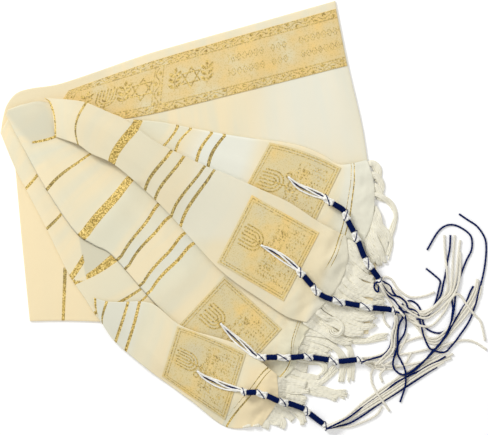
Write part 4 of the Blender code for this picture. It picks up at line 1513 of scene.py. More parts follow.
@dataclass
class Tzitzit:
    """A corner's strands: doubled from the eyelet, wound and knotted, then loose."""

    # Colour, bow in metres and half waves of each doubled strand.
    LOOPS = ((Hue.NAVY, 0.0004, 1.0), (Hue.BRIGHT, 0.0028, 1.0), (Hue.BRIGHT, -0.0030, 1.0),
             (Hue.BRIGHT, 0.0016, 2.0))

    number: str
    places: Points
    strands: list[tuple[Hue, Points]]
    core_radius: float = 0.0041
    core_gap: float = 0.0006
    wrap_yarn: float = 0.0008
    wrap_pitch: float = 1.9
    wrap_samples: int = 12
    knot_yarn: float = 0.0019
    knot_spread: Range = (0.0028, 0.0004)
    knot_core: float = 0.0024
    knot_least_reach: float = 0.0016
    hook_radius: float = 0.0048
    hook_yarn: float = 0.0007
    navy_radius: float = 0.00125
    white_radius: float = 0.00155
    root_spread: float = 0.0050
    root_inset: float = 0.003

    def build(self, pile: HeightMap, finish: dict[Finish, Material]) -> Piece:
        """Makes the doubled strands, windings and knots, laid over the pile."""
        self.finish = [finish[Finish.WHITE_YARN], finish[Finish.NAVY_YARN], finish[Finish.BRIGHT_YARN]]
        tubes = Tubes(6)
        spots = plan(self.places)
        first = CORD_KINDS.index("knot")
        self.loops(tubes, pile, spots[:first + 1])
        core = evenly(spots[first - 1:], 0.001, 10)
        below = pile.sample(core)
        under = along_window(along_window(below, 9, True), 7, False)
        line = np.column_stack([core, under + self.core_radius + self.core_gap])
        places = [int(np.linalg.norm(core - spot, axis=1).argmin()) for spot in spots[first - 1:]]
        for kind, start, end in zip(CORD_KINDS[first:], places, places[1:]):
            stretch = line[start:end + 1]
            if kind == "wrap":
                self.winding(tubes, stretch)
            else:
                self.knot(tubes, stretch)
        self.end = line[-1]
        raised = line.copy()
        raised[:, 2] += 0.8 * self.core_radius
        pile.raise_to(raised)
        piece = tubes.store(f"tzitzit_{self.number}_cord", self.finish)
        dress(piece, f"tzitzit_{self.number}")
        return piece

    def loops(self, tubes: Tubes, pile: HeightMap, spots: Array) -> None:
        """Adds the doubled strands, each bowed to its own side between eyelet and first knot."""
        base = evenly(spots, 0.003, 6)
        share = np.linspace(0, 1, len(base))
        sides = side_vectors(base)
        for hue, bow, turns in self.LOOPS:
            shift = bow * np.sin(math.pi * share * turns) + 0.35 * bow * np.sin(math.pi * share)
            centres = lay_yarn(pile, base + shift[:, None] * sides, YARN_RADIUS, 0.0025, 0.005, 0.3)
            tubes.add(centres, YARN_RADIUS, slot=hue.value, plies=0.16, turns=150, sides=8)

    def winding(self, tubes: Tubes, line: Array) -> None:
        """Adds a tight helix of navy round the core: a circle that moves one yarn width each turn."""
        along = lengths_along(line)
        turns = max(3, int(along[-1] / (self.wrap_pitch * self.wrap_yarn)))
        share = np.linspace(0, 1, turns * self.wrap_samples + 1)
        centre = np.stack([np.interp(share * along[-1], along, line[:, k]) for k in range(3)], axis=1)
        side, rise = frame_along(centre, np.array([0.0, 0.0, 1.0]))
        angle = 2 * math.pi * turns * share[:, None]
        out = np.cos(angle) * side + np.sin(angle) * rise
        radius = self.core_radius - self.wrap_yarn
        tubes.add(centre + radius * out, self.wrap_yarn, up=out, slot=Hue.NAVY.value, sides=4)
        tubes.add(line[::4], 0.8 * radius, slot=Hue.NAVY.value)

    def knot(self, tubes: Tubes, line: Array) -> None:
        """Adds a knot.

        A white yarn goes three times to and fro along the knot while it goes twice round the
        cord, and a thin navy line hooks over it from the winding before.
        """
        centre = line.mean(axis=0)
        run = line[-1] - line[0]
        length = float(np.linalg.norm(run))
        ahead = run / length
        side = np.cross([0.0, 0.0, 1.0], ahead)
        side /= np.linalg.norm(side)
        rise = np.cross(ahead, side)
        angle = np.linspace(0, 4 * math.pi, 97)[:, None]
        reach = max(self.knot_least_reach, 0.5 * length - self.knot_yarn) * np.cos(1.5 * angle)
        spread = self.knot_spread[0] + self.knot_spread[1] * np.sin(1.5 * angle)
        out = np.cos(angle) * side + np.sin(angle) * rise
        tubes.add(centre + spread * out + reach * ahead, self.knot_yarn, up=out, slot=Hue.BRIGHT.value,
                  plies=0.14, turns=160)
        tubes.add(line[::2], self.knot_core, slot=Hue.BRIGHT.value)
        share = np.linspace(0, 1, 22)[:, None]
        turn = math.pi * (0.12 + 0.9 * np.sin(0.5 * math.pi * share))
        out = np.cos(turn) * side + np.sin(turn) * rise
        slant = (-0.52 + 0.85 * np.sin(2.2 * share)) * length
        tubes.add(centre + self.hook_radius * out + slant * ahead, self.hook_yarn, up=out,
                  slot=Hue.NAVY.value, sides=4)

    def tassel(self, pile: HeightMap) -> Piece:
        """Makes the loose strands, laid one after another from the last knot."""
        tubes = Tubes(8)
        towards = plan(self.places[-1]) - plan(self.places[-2])
        towards /= np.linalg.norm(towards)
        left = np.array([-towards[1], towards[0]])
        for number, (hue, route) in enumerate(self.strands):
            side = 0.5 - (number + 0.5) / len(self.strands)
            root = self.end[:2] - self.root_inset * towards + side * self.root_spread * left
            radius = self.navy_radius if hue is Hue.NAVY else self.white_radius
            centres = lay_yarn(pile, np.vstack([root, plan(route)]), radius, 0.0022, 0.0045, 0.45,
                               first=self.end[2] - 0.001)
            tubes.add(centres, radius, slot=hue.value, plies=0.10, turns=140)
        piece = tubes.store(f"tassel_{self.number}_strands", self.finish)
        dress(piece, f"tassel_{self.number}")
        return piece


# Each edge runs left to right or upper to lower: the four meet at the stretch's corners.
OUTLINES = {
    "back_panel": {
        "upper": [(1, 132), (3, 119), (7, 105), (16.6, 93.3), (31.5, 88.4), (58, 84.3), (95, 72.3),
                  (130, 60), (163, 49.4), (250, 25), (335, 1)],
        "lower": [(30, 321), (64, 320.5), (100, 321.5), (160, 323), (260, 330), (368, 334)],
        "left": [(1, 132), (9, 150), (15, 167), (17.5, 190), (22, 240), (30, 321)],
        "right": [(335, 1), (348, 66), (360.6, 120), (367, 158), (374, 210), (376, 270), (368, 334)],
    },
    "neckband": {
        "upper": [(69, 90.5), (98, 80), (131, 68.5), (163, 58), (250, 33), (335.5, 9)],
        "lower": [(50, 122), (90, 124), (125, 119), (163, 112), (250, 90.5), (347, 66)],
        "left": [(69, 90.5), (60, 104), (50, 122)],
        "right": [(335.5, 9), (347, 66)],
    },
    "front_low": {
        "upper": [(9, 118), (22, 138), (42, 160), (72, 200), (102, 234), (128, 258), (190, 318)],
        "lower": [(1, 133), (15, 167), (30, 196), (47, 229), (69, 274), (85, 298), (101, 321),
                  (135, 350)],
        "left": [(9, 118), (1, 133)],
        "right": [(190, 318), (162, 338), (135, 350)],
    },
    "front_three": {
        "upper": [(9, 110), (27, 104), (48, 103), (95, 122), (140, 150), (172, 186), (202, 222),
                  (232, 256), (262, 287), (312, 322)],
        "lower": [(7, 116), (25, 150), (47, 190), (75, 231.5), (94, 245), (111.7, 255), (140, 287),
                  (164, 313), (205, 352), (250, 398)],
        "left": [(9, 110), (7, 116)],
        "right": [(312, 322), (300, 345), (290, 372), (250, 398)],
    },
    "front_four": {
        "upper": [(93, 297), (107, 301), (122, 301.6), (141, 301), (156, 305), (177.3, 322.5),
                  (196, 331), (216, 336.5), (236, 343), (250, 352), (277, 374)],
        "lower": [(101, 321), (114, 340), (137, 360), (160, 378), (192, 401), (227, 427), (262, 425)],
        "left": [(93, 297), (96, 309), (101, 321)],
        "right": [(277, 374), (277, 400), (262, 425)],
    },
    "front_one": {
        "upper": [(100, 116), (124, 119), (143, 120.6), (163, 122.5), (191.6, 128), (224, 134),
                  (250, 138), (269.6, 140), (290, 143), (308, 148), (325, 156), (341, 164.5),
                  (367, 160)],
        "lower": [(92, 128), (120, 144), (150, 160), (180, 182), (205, 200), (232, 218), (262, 232),
                  (290, 242), (312, 248), (342, 266)],
        "left": [(100, 116), (92, 128)],
        "right": [(367, 160), (374, 186), (372, 220), (359, 248), (342, 266)],
    },
    "front_two": {
        "upper": [(45, 98.6), (69, 100.4), (86, 103), (99.5, 108.5), (112, 114), (124, 119),
                  (139.5, 130), (158, 143), (185, 156.5), (206.7, 166.5), (228.4, 175), (262, 190),
                  (290, 203), (319, 222), (346, 236)],
        "lower": [(56, 137), (79, 145), (92, 154), (115, 165), (145, 190), (170, 214.5), (194, 242),
                  (216, 266), (236.4, 283), (260, 299), (286, 316), (306, 322)],
        "left": [(45, 98.6), (50, 103), (54, 116), (56, 137)],
        "right": [(346, 236), (347, 262), (335, 290), (306, 322)],
    },
}

# Corner squares, from the inner corner on the upper edge, clockwise.
PATCH_CORNERS = {
    "patch_one": [(269.5, 142.5), (341, 168), (308, 236), (234, 208)],
    "patch_two": [(251.7, 195), (319, 232.5), (283.5, 301), (217.3, 262.3)],
    "patch_three": [(224.4, 276), (282, 328.5), (231, 384), (173, 331)],
    "patch_four": [(177.6, 325.5), (246, 353), (225, 420), (162, 376)],
}
PATCH_UPPER_BOW = {"patch_one": 3.0, "patch_two": 0.0, "patch_three": 0.0, "patch_four": 1.5}


# Columns: width of the lock and its route from the cloth outward, in picture steps.
FRINGES = {
    "fringe_three": [
        (9, [(306, 324), (316, 329), (326, 333), (336, 338)]),
        (9, [(302, 330), (314, 336), (326, 342), (336, 349)]),
        (9, [(298, 338), (310, 344), (322, 348), (332, 354)]),
        (9, [(296, 346), (308, 351), (320, 354), (330, 360)]),
        (9, [(294, 354), (306, 359), (318, 362), (330, 367)]),
        (9, [(290, 362), (302, 367), (312, 369)]),
        (9, [(288, 368), (298, 374), (310, 378), (322, 381)]),
        (8, [(306, 330), (322, 334), (338, 339), (349, 347), (351, 358), (351, 370), (350, 385)]),
        (8, [(304, 336), (322, 341), (337, 349), (343, 360), (342, 374), (341, 386)]),
        (5, [(296, 358), (308, 361), (319, 362), (325, 367), (322, 374), (314, 375)]),
        (8, [(286, 374), (298, 380), (312, 384), (322, 381), (330, 374), (338, 365)]),
        (8, [(282, 378), (296, 384), (312, 387), (328, 391), (350, 395)]),
        (8, [(278, 382), (292, 388), (308, 391), (324, 394), (340, 401)]),
    ],
    "fringe_four": [
        (9, [(270, 378), (284, 381), (297, 383), (310, 386)]),
        (9, [(270, 384), (284, 387), (298, 390), (313, 391)]),
        (9, [(270, 390), (284, 394), (298, 398), (309, 402)]),
        (9, [(270, 396), (283, 401), (295, 405), (304, 409)]),
        (8, [(269, 401), (282, 406), (293, 410), (301, 416), (304, 428)]),
        (9, [(267, 406), (279, 411), (288, 415), (295, 421)]),
        (6, [(266, 410), (276, 415), (283, 421), (281, 431)]),
        (9, [(262, 413), (270, 418), (277, 423), (276, 428)]),
        (9, [(257, 416), (263, 421), (266, 426), (264, 430)]),
        (8, [(250, 418), (256, 423), (256, 429)]),
        (8, [(240, 419), (246, 424), (247, 429)]),
    ],
    "fringe_one": [
        (9, [(366, 203), (371, 212), (376, 222), (382, 234), (386, 242)]),
        (9, [(364, 212), (370, 224), (376, 236), (382, 248)]),
        (9, [(362, 221), (368, 233), (374, 245), (380, 258)]),
        (9, [(358, 230), (364, 242), (370, 253), (376, 264)]),
        (8, [(364, 168), (371, 163), (377, 168), (378, 178), (374, 184)]),
        (8, [(367, 176), (376, 176), (381, 184), (379, 193), (375, 199)]),
        (8, [(367, 184), (376, 188), (381, 195), (379, 204)]),
        (5.5, [(367, 192), (376, 194), (385, 199), (392, 206), (396, 216), (393, 227), (390, 236),
               (391, 244), (388, 253), (384, 262)]),
        (8, [(366, 198), (373, 206), (377, 216), (380, 225), (386, 234), (387, 246)]),
        (9, [(366, 208), (372, 218), (376, 229), (382, 238), (384, 250), (380, 261)]),
        (9, [(365, 216), (370, 228), (374, 240), (380, 251), (384, 266)]),
        (9, [(361, 226), (366, 238), (370, 250), (377, 259), (379, 270)]),
        (9, [(356, 234), (362, 246), (366, 257), (373, 266)]),
        (9, [(350, 242), (357, 254), (362, 266), (368, 276)]),
        (9, [(342, 250), (351, 262), (357, 274)]),
    ],
    "fringe_two": [
        (9, [(339, 242), (350, 251), (364, 261)]),
        (9, [(341, 250.5), (353, 260), (366, 270)]),
        (9, [(340, 259), (351, 270), (366, 280)]),
        (9, [(338, 267), (349, 279), (364, 289)]),
        (9, [(334, 274.5), (347, 287), (362, 296)]),
        (9, [(330, 281), (343, 294), (358, 303)]),
        (9, [(325, 287.5), (339, 301), (354, 310), (370, 315)]),
        (9, [(318, 294), (332, 307), (346, 316), (366, 322)]),
        (9, [(308, 305), (324, 317), (344, 327), (366, 330)]),
        (10, [(340, 238), (350, 245), (358, 254), (368, 261)]),
        (10, [(340, 246), (352, 255), (362, 265), (374, 271)]),
        (10, [(341, 255), (352, 265), (362, 275), (378, 281)]),
        (10, [(339, 263), (350, 275), (362, 285), (382, 291)]),
        (10, [(336, 271), (348, 284), (362, 292), (386, 297)]),
        (9, [(332, 278), (345, 291), (360, 300), (376, 304), (390, 302)]),
        (9, [(328, 284), (342, 298), (356, 307), (372, 311), (388, 309)]),
        (9, [(322, 291), (336, 304), (350, 313), (364, 318), (379, 313)]),
        (8, [(316, 297), (330, 310), (344, 320), (358, 326), (370, 326), (377, 322)]),
        (9, [(310, 303), (324, 316), (338, 326), (350, 332), (366, 333)]),
        (8, [(304, 309), (320, 323), (338, 334), (354, 340), (366, 341), (378, 338), (391, 336)]),
        (9, [(300, 315), (314, 326), (328, 334), (344, 341), (356, 344)]),
        (5, [(308, 308), (324, 317), (336, 320), (342, 327), (338, 334), (331, 332), (332, 325)]),
    ],
}


# The lengths of every cord, from the eyelet outward.
CORD_KINDS = ("start", "loop", "loop", "loop", *("knot", "wrap") * 4, "knot")

# Columns: end point of each length, in that order.
TZITZIT = {
    "tzitzit_four": [
        (197.4, 370), (206, 377), (224, 385), (241, 389), (247, 391), (256, 391), (267, 394.5),
        (278, 399.7), (288, 402.5), (304, 408.5), (310, 413.5), (323, 423.5), (329, 428)],
    "tzitzit_three": [
        (220.5, 323), (232, 335), (246, 347), (257, 356), (267, 356.5), (276.7, 356.5), (291.2, 356.7),
        (303.3, 355.7), (312.5, 357), (328.7, 359.5), (339, 361), (356.5, 359.3), (363, 360)],
    "tzitzit_two": [
        (260.7, 245), (272, 251), (286, 260), (297, 268.5), (303.8, 276), (311.4, 285), (320, 294),
        (331.5, 299), (344.8, 302.5), (358.8, 305), (372.7, 307.5), (391, 309.5), (397, 311.5)],
    "tzitzit_one": [
        (288, 177), (298, 186), (311, 192), (323, 197), (333, 204), (343.5, 211), (347.5, 221),
        (353, 231.5), (358, 242), (364, 257.5), (371.5, 269), (378, 278), (380.5, 284.5)],
}

# One row for each loose strand: its colour, and its route from the last knot.
TASSELS = {
    "tassel_four": [
        ("white", [(345.5, 417), (364.5, 401), (385, 386.5), (406, 372), (427, 358), (447, 344)]),
        ("white", [(346, 418.2), (366, 403), (386.5, 388.5), (407, 374.5), (428, 360.5), (449, 350)]),
        ("white", [(346.5, 418.7), (367, 404.6), (387.8, 390.5), (408.5, 376.3), (429, 363),
                   (453, 354)]),
        ("white", [(347, 419.5), (368, 406), (389, 392.5), (410, 378.5), (430, 366), (451, 358)]),
        ("white", [(347.5, 420.3), (369.5, 408), (390.5, 394.8), (411, 381), (429, 370), (444, 362)]),
        ("white", [(345.5, 427), (360, 423), (376, 415), (382, 406)]),
        ("navy", [(346, 418.6), (355, 412.4), (364.6, 405), (382, 393), (395, 383), (402, 379),
                  (424, 368), (445.5, 356.4)]),
        ("navy", [(347, 424), (362, 416), (379, 404), (395, 394), (412, 383), (428.5, 372), (437, 367)]),
    ],
    "tassel_three": [
        ("white", [(372, 357), (384, 353), (398, 346), (410, 340), (424, 336)]),
        ("white", [(378, 358), (396, 355), (411, 353), (424, 350), (444, 345), (459, 340.6),
                   (469.7, 340.6), (478, 344), (486.5, 349.7)]),
        ("white", [(370, 365), (378.8, 366), (389.7, 362.4), (397, 355), (403, 344), (408, 333)]),
        ("white", [(372, 367), (388, 369), (404, 364), (411.5, 352)]),
        ("white", [(376, 364), (398, 366), (416, 363), (430, 359)]),
        ("white", [(369, 364), (373, 368), (371, 374), (372, 383), (377, 393), (389.5, 411)]),
        ("white", [(374, 362), (384.8, 367), (380, 374.5), (382.4, 382)]),
        ("navy", [(374, 358), (382, 355.4), (389.5, 347.3), (392, 336), (395, 320), (400, 307),
                  (408, 301), (414, 302), (419, 307), (422, 315), (423.6, 324), (428.5, 330),
                  (437, 333), (444, 331.5), (450, 326), (452, 315), (452.7, 307), (451, 296)]),
    ],
    "tassel_two": [
        ("navy", [(406, 312), (418, 313), (426, 312), (432, 309), (436, 300), (439, 288), (440, 281),
                  (434, 275), (426, 268.5)]),
        ("white", [(404, 314), (414, 318), (419, 325), (425, 336), (435, 338), (443, 333), (451, 324),
                   (460, 313), (469, 300), (475, 288), (477, 279)]),
        ("navy", [(403, 316), (414, 319), (424.8, 318), (430, 313), (437, 302), (441, 294), (443, 285),
                  (445.5, 273), (447.3, 261), (449.7, 248), (450.3, 235)]),
        ("white", [(404, 316), (414, 320), (421, 328.5), (427, 339), (436, 340.6), (443, 336),
                   (451.5, 327), (461, 316), (469.7, 304), (476, 292), (478, 280)]),
        ("white", [(404, 318), (413, 323), (422, 334), (428, 342), (437, 343.5), (445, 339), (454, 329),
                   (463, 319), (472, 307), (479, 296), (481, 285)]),
        ("navy", [(401, 313), (402.5, 317), (400, 322), (398, 330), (397, 346), (393.5, 358),
                  (393, 366), (397, 372), (404, 374.5), (413, 371), (421, 364), (432, 351.5),
                  (443, 339), (450, 324), (454, 309), (456, 290), (460, 277), (466, 261), (471, 251),
                  (472, 242), (470, 235), (463, 229), (454, 225), (445, 226), (437, 233), (427, 250)]),
        ("navy", [(401, 313), (402.5, 317), (400, 322), (398, 330), (397, 346), (393.5, 358),
                  (393, 366), (397, 372), (404, 374.5), (413, 370), (421, 363), (433, 351.5),
                  (445.5, 336), (454, 321), (461, 310), (466, 302), (470, 292), (473.3, 286)]),
        ("white", [(397, 318), (396.5, 326), (394.5, 338), (394, 348), (390, 355), (379, 364)]),
        ("white", [(395, 316), (394.5, 325), (391.8, 335), (391.5, 345), (387.5, 352), (375, 365)]),
    ],
    "tassel_one": [
        ("white", [(384, 277), (391, 279), (398, 289), (410, 297), (424, 296), (434.5, 292)]),
        ("white", [(388, 286), (398, 293), (408, 303), (419, 311), (430, 309), (440, 300), (447, 290),
                   (447, 275), (445, 256), (444, 235)]),
        ("white", [(388, 288), (399, 296), (410, 306), (421, 313), (431, 309), (440.6, 300.6),
                   (450, 292), (452, 276), (453, 256), (454.5, 235)]),
        ("white", [(388, 290), (400, 299), (412, 310), (424, 315), (434, 309), (443, 301), (452, 292),
                   (456, 276), (458, 258), (460, 240)]),
        ("navy", [(387, 291), (392, 295), (399.5, 297), (405.5, 302), (408, 308), (414, 310),
                  (418, 314), (421, 326), (423.5, 336), (428.5, 347), (433, 350), (439.5, 352),
                  (445.5, 351.5), (451.5, 345.5), (459, 336), (468.5, 322), (474.5, 307), (480.5, 285),
                  (484, 270), (486, 253), (485.5, 241), (482, 233), (476, 225.5), (467, 219.5),
                  (459, 214)]),
        ("white", [(386, 292), (398, 303), (413, 314), (426, 318), (438, 311), (447, 302), (456, 290),
                   (460, 272), (460, 252)]),
        ("white", [(385, 294), (396, 308), (412, 322), (430, 326), (444, 312), (452, 297), (459, 294.5),
                   (466, 304), (474.5, 315), (480.6, 322), (485, 340.6)]),
        ("navy", [(385, 293), (394, 300), (401, 309), (404, 315), (406, 324), (404, 334), (398.6, 343),
                  (397.3, 353), (401, 361), (405, 371), (405, 386), (400, 402)]),
        ("white", [(386, 296), (392, 305.5), (386, 310), (383.6, 317.6), (386, 323.6), (389.7, 327.3)]),
        ("navy", [(378, 292), (374, 288), (375, 283), (380, 281), (384.8, 282.4), (390, 286),
                  (393, 292), (396, 296)]),
    ],
}

# Known lines across each stretch, in order from its left end: place along the cloth, then the route.
STRIPE_ROWS = {
    "back_panel": [
        (30, [(1, 132), (17.5, 190), (30, 321)]),
        (0, [(60, 86), (66, 190), (68, 272), (64, 293), (62, 311), (64, 320)]),
        (-300, [(335, 1), (367, 158), (368, 334)]),
    ],
    "front_low": [
        (-62, [(9, 118), (1, 133)]), (0, [(38, 175), (26, 188)]), (40, [(63, 213), (48, 228)]),
        (97, [(83.5, 260), (72, 277.5)]), (114, [(99, 250), (80, 280)]), (97, [(114, 258), (86.5, 275)]),
        (134, [(142, 289), (133, 294.5), (121.5, 301.5)]), (146.5, [(147.5, 295.4), (143, 300)]),
    ],
    "front_three": [
        (-46, [(9, 110), (7, 116)]), (0, [(58, 135), (46, 142), (33, 144)]),
        (40, [(92, 153), (83, 156), (76, 164), (64, 176), (47, 190)]),
        (97, [(130.5, 176), (105, 208), (82, 236.5)]),
        (134, [(159, 203), (146, 222), (133, 239), (118, 259)]),
        (146.5, [(171, 215), (159, 227), (148.5, 241), (126, 267)]),
        (168.5, [(185, 231), (164, 257.5), (140, 285)]),
        (179.5, [(194, 241), (173.5, 265), (146.4, 294)]), (222, [(224.4, 276), (173, 331)]),
        (298, [(282, 328.5), (231, 384)]), (313.5, [(299.5, 327), (292, 347), (286, 375)]),
        (330, [(312, 322), (290, 372), (250, 398)]),
    ],
    "front_four": [
        (134, [(95.4, 297), (95, 312)]), (146.5, [(106.3, 302), (102, 320)]),
        (168.5, [(128, 302), (116, 340)]), (179.5, [(140, 301), (129, 340)]),
        (222, [(177.3, 324.7), (162, 377)]), (298, [(246, 352), (225, 420)]),
        (313.5, [(265, 372), (252, 388), (234, 408)]), (330, [(277, 374), (262, 425)]),
    ],
    "front_one": [
        (60, [(100, 116), (92, 128)]), (97, [(138.5, 120), (128, 136)]),
        (134, [(178.5, 126), (172, 133), (166, 145)]), (146.5, [(190.5, 128), (182, 137), (176, 150)]),
        (168.5, [(211, 132), (203.5, 143), (196, 162)]),
        (179.5, [(224.6, 133), (216.5, 145), (208, 166)]), (222, [(269.5, 142.5), (234, 208)]),
        (298, [(341, 168), (308, 236)]), (313.5, [(351, 167), (348, 207), (334, 258)]),
        (330, [(367, 160), (372, 220), (342, 266)]),
    ],
    "front_two": [
        (0.8, [(46.5, 99), (51, 103), (55.5, 116), (57, 136)]),
        (40, [(86, 104), (79.6, 118), (76, 129), (76, 137), (79, 144)]),
        (97, [(138.5, 122), (125, 139.5), (112, 161)]), (134, [(171.5, 151), (158, 168), (145.5, 189)]),
        (146.5, [(184, 156), (170, 176), (156, 198)]), (168.5, [(204.6, 166), (187, 190), (172, 215)]),
        (179.5, [(214, 170), (198, 193), (181, 224)]), (222, [(251.7, 195), (217.3, 262.3)]),
        (298, [(319, 232.5), (283.5, 301)]), (313.5, [(341, 238), (331, 262), (297, 312)]),
        (330, [(346, 236), (347, 262), (306, 322)]),
    ],
}

# Soft folds: route in picture steps, then height and half width in metres.
CREASES = {
    "back_panel": [Crease([(240, 112), (262, 40)], 0.0006, 0.014),
                   Crease([(322, 24), (352, 130)], 0.0006, 0.012)],
    "front_low": [Crease([(14, 150), (44, 210), (66, 262)], 0.0008, 0.007)],
    "front_three": [Crease([(60, 150), (110, 200), (150, 262)], 0.0012, 0.009),
                    Crease([(110, 176), (160, 232), (205, 300)], 0.0010, 0.008),
                    Crease([(30, 128), (60, 190), (92, 236)], 0.0010, 0.007)],
    "front_four": [Crease([(110, 312), (150, 350), (190, 392)], 0.0008, 0.007)],
    "front_one": [Crease([(160, 130), (230, 160), (300, 180)], 0.0006, 0.008)],
    "front_two": [Crease([(70, 112), (120, 138), (190, 190)], 0.0008, 0.008),
                  Crease([(96, 140), (150, 172), (210, 240)], 0.0008, 0.007)],
}

# Soft areas: corners in picture steps, then strength and the border's width in metres.
# Shades are painted shade; clears and warm areas are painted light.
SHADES = {
    "front_three": [SoftArea([(4, 112), (45, 98), (60, 137), (33, 146)], 0.75, 0.010)],
    "back_panel": [SoftArea([(-20, 50), (108, 50), (108, 82), (52, 100), (-20, 116)], 0.32, 0.02)],
    "front_low": [SoftArea([(79, 235), (114, 254), (86, 276)], 0.75, 0.003)],
    "front_two": [SoftArea([(0, 60), (400, 60), (400, 380), (0, 380)], 0.26, 0.02)],
    "front_four": [SoftArea([(80, 285), (142, 290), (130, 350), (88, 335)], 0.5, 0.03)],
}
PLAINS = {"front_low": [SoftArea([(79.5, 236), (113, 252), (110.8, 255.2), (86.4, 269.6)], 1.0, 0.0012),
                        SoftArea([(72.4, 280.6), (75.2, 280.6), (86, 264.5), (86.8, 281), (80, 292)],
                                 1.0, 0.0012)],
          "front_three": [SoftArea([(2, 112), (33, 112), (33.4, 160), (2, 160)], 1.0, 0.0012)],
          "back_panel": [SoftArea([(-20, 60), (340, -20), (400, 268), (-20, 268)], 1.0, 0.002)],
          "front_two": [SoftArea([(326, 266), (360, 266), (350, 340), (280, 340), (280, 300)],
                                 1.0, 0.006)]}
# Painted light: soft areas made whiter, as where more light falls.
PAINTED_LIGHT_AREAS = {"back_panel": [SoftArea([(262, 40), (352, 20), (380, 170), (262, 150)], 0.65, 0.10)],
          "front_one": [SoftArea([(208, 120), (262, 125), (236, 220), (170, 185)], 0.85, 0.035),
                        SoftArea([(346, 150), (400, 150), (400, 290), (330, 280)], 0.6, 0.02)],
          "front_two": [SoftArea([(198, 160), (258, 180), (232, 240), (172, 240)], 0.45, 0.02),
                        SoftArea([(343, 228), (370, 228), (360, 340), (298, 340)], 0.6, 0.014)],
          "front_four": [SoftArea([(86, 290), (142, 296), (130, 350), (92, 330)], 0.9, 0.02)]}
# Painted warm light: a share over each whole stretch, and soft areas where it is stronger.
PAINTED_WARMTH = {"back_panel": 0.2, "front_low": 0.3, "front_two": 0.3}
PAINTED_WARM_LIGHT_AREAS = {"back_panel": [SoftArea([(-60, 40), (105, 40), (105, 400), (-60, 400)], 0.9, 0.09)],
              "front_four": [SoftArea([(248, 366), (292, 360), (292, 440), (226, 440)], 0.9, 0.02)],
              "front_two": [SoftArea([(310, 226), (360, 226), (360, 330), (290, 330)], 0.7, 0.02)]}
COVERS = {"shade": SHADES, "plain": PLAINS, "warm": PAINTED_WARM_LIGHT_AREAS, "clear": PAINTED_LIGHT_AREAS}
CRUMPLES = {
    "front_one": [Crumple(0.86, 0.0016, 0.028, 11)],
    "front_two": [Crumple(0.86, 0.0019, 0.030, 23)],
    "front_three": [Crumple(0.88, 0.0019, 0.028, 31)],
    "front_four": [Crumple(0.84, 0.0015, 0.028, 47)],
}
CLOTH_CELLS = {"back_panel": 0.0032, "front_low": 0.0014}
EYELETS = {"one": (288, 177), "two": (260.7, 245), "three": (220.5, 323), "four": (197.4, 370)}
RESTS_ON = {
    "back_panel": ["floor"],
    "front_low": ["back_panel_cloth"],
    "front_three": ["back_panel_cloth", "front_low_cloth"],
    "front_four": ["front_three_cloth", "front_low_cloth"],
    "front_one": ["back_panel_cloth", "front_three_cloth"],
    "front_two": ["front_one_cloth", "front_three_cloth"],
}


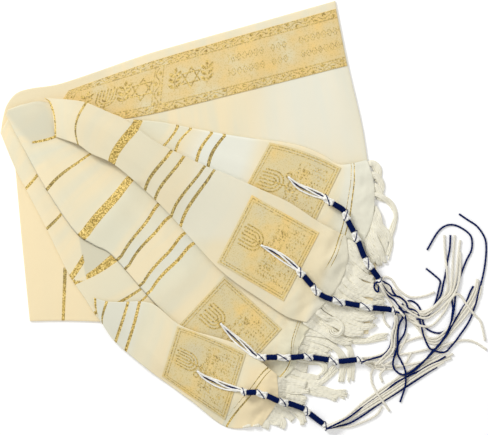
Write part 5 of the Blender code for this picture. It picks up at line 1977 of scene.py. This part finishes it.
@dataclass
class Studio:
    """The floor, lights and camera."""

    camera_height: float = 2.6
    sensor: float = 36.0
    floor_size: float = 4.0
    surround: float = 0.56

    def build(self, floor_finish: Material) -> None:
        """Makes the stage: a floor just under the shawl, soft lights and a camera straight above."""
        self.floor(floor_finish)
        self.world()
        self.light("key", (-1.7, 1.7, 2.0), 0.9, 62.0)
        self.light("fill", (1.4, -0.8, 2.2), 1.6, 5.0)
        self.camera()

    def floor(self, finish: Material) -> None:
        """Makes a flat sheet whose upper side is level with the underside of the shawl."""
        half = self.floor_size / 2
        points = half * np.array([(-1, -1, 0), (1, -1, 0), (1, 1, 0), (-1, 1, 0)], float)
        piece = store("floor", points, np.array([[0, 1, 2, 3]]), points[:, :2], [finish])

    def world(self) -> None:
        """Makes an even pale surround."""
        world = bpy.data.worlds.new("studio")
        world.use_nodes = True
        background = world.node_tree.nodes["Background"]
        background.inputs["Color"].default_value = (1.0, 1.0, 1.0, 1.0)
        background.inputs["Strength"].default_value = self.surround
        bpy.context.scene.world = world

    def light(self, name: str, place: tuple[float, float, float], size: float, power: float) -> None:
        """Makes a square light that faces the shawl."""
        data = bpy.data.lights.new(name, "AREA")
        data.size = size
        data.energy = power
        lamp = bpy.data.objects.new(name, data)
        bpy.context.scene.collection.objects.link(lamp)
        lamp.location = place
        lamp.rotation_euler = (-Vector(place)).to_track_quat("-Z", "Y").to_euler()

    def camera(self) -> None:
        """Makes the camera: its width at the surface is the photograph's width in steps."""
        data = bpy.data.cameras.new("camera")
        data.sensor_width = self.sensor
        data.lens = self.sensor * self.camera_height / (PHOTO_WIDTH * STEP)
        data.clip_start, data.clip_end = 0.1, 20.0
        camera = bpy.data.objects.new("camera", data)
        bpy.context.scene.collection.objects.link(camera)
        middle = plan([(PHOTO_WIDTH / 2, PHOTO_HEIGHT / 2)])[0]
        camera.location = (middle[0], middle[1], self.camera_height)
        bpy.context.scene.camera = camera
        bpy.context.scene.view_settings.view_transform = "Standard"


def main() -> None:
    """Builds every piece in the order in which it is laid, and reports each."""
    logging.basicConfig(level=logging.INFO, format="%(name)s %(message)s")
    finish = finishes()
    pile = HeightMap()

    def stretch(name: str) -> None:
        """Lays one stretch of cloth."""
        lines = [StripeRoute(along, route) for along, route in STRIPE_ROWS[name]]
        covers = {key: areas.get(name, []) for key, areas in COVERS.items()}
        ClothStretch(name, OUTLINES[name], RESTS_ON[name], lines, CREASES.get(name, []),
                     CRUMPLES.get(name, []), covers, PAINTED_WARMTH.get(name, LEAST_PAINTED_WARMTH),
                     CLOTH_CELLS.get(name, CLOTH_CELL),
                     doubled=name == "back_panel").build(pile, finish[Finish.CLOTH])

    stretch("back_panel")
    Neckband(OUTLINES["neckband"]).build(pile, finish[Finish.BAND])
    stretch("front_low")
    for number in ("three", "four", "one", "two"):
        beneath = pile.top.copy()
        stretch(f"front_{number}")
        name = f"patch_{number}"
        CornerPatch(number, PATCH_CORNERS[name], PATCH_UPPER_BOW[name], EYELETS[number]).build(
            pile, finish[Finish.PATCH])
        Fringe(number, OUTLINES[f"front_{number}"]["right"], FRINGES[f"fringe_{number}"]).build(
            pile, beneath, finish[Finish.FRINGE])
    corners_made = {}
    for number in ("four", "three", "two", "one"):
        name = f"tassel_{number}"
        strands = [(Hue[colour.upper()], route) for colour, route in TASSELS[name]]
        corners_made[number] = Tzitzit(number, TZITZIT[f"tzitzit_{number}"], strands)
        corners_made[number].build(pile, finish)
    for number in ("four", "three", "two", "one"):
        corners_made[number].tassel(pile)
    Studio().build(finish[Finish.FLOOR])


if __name__ == "__main__":
    main()
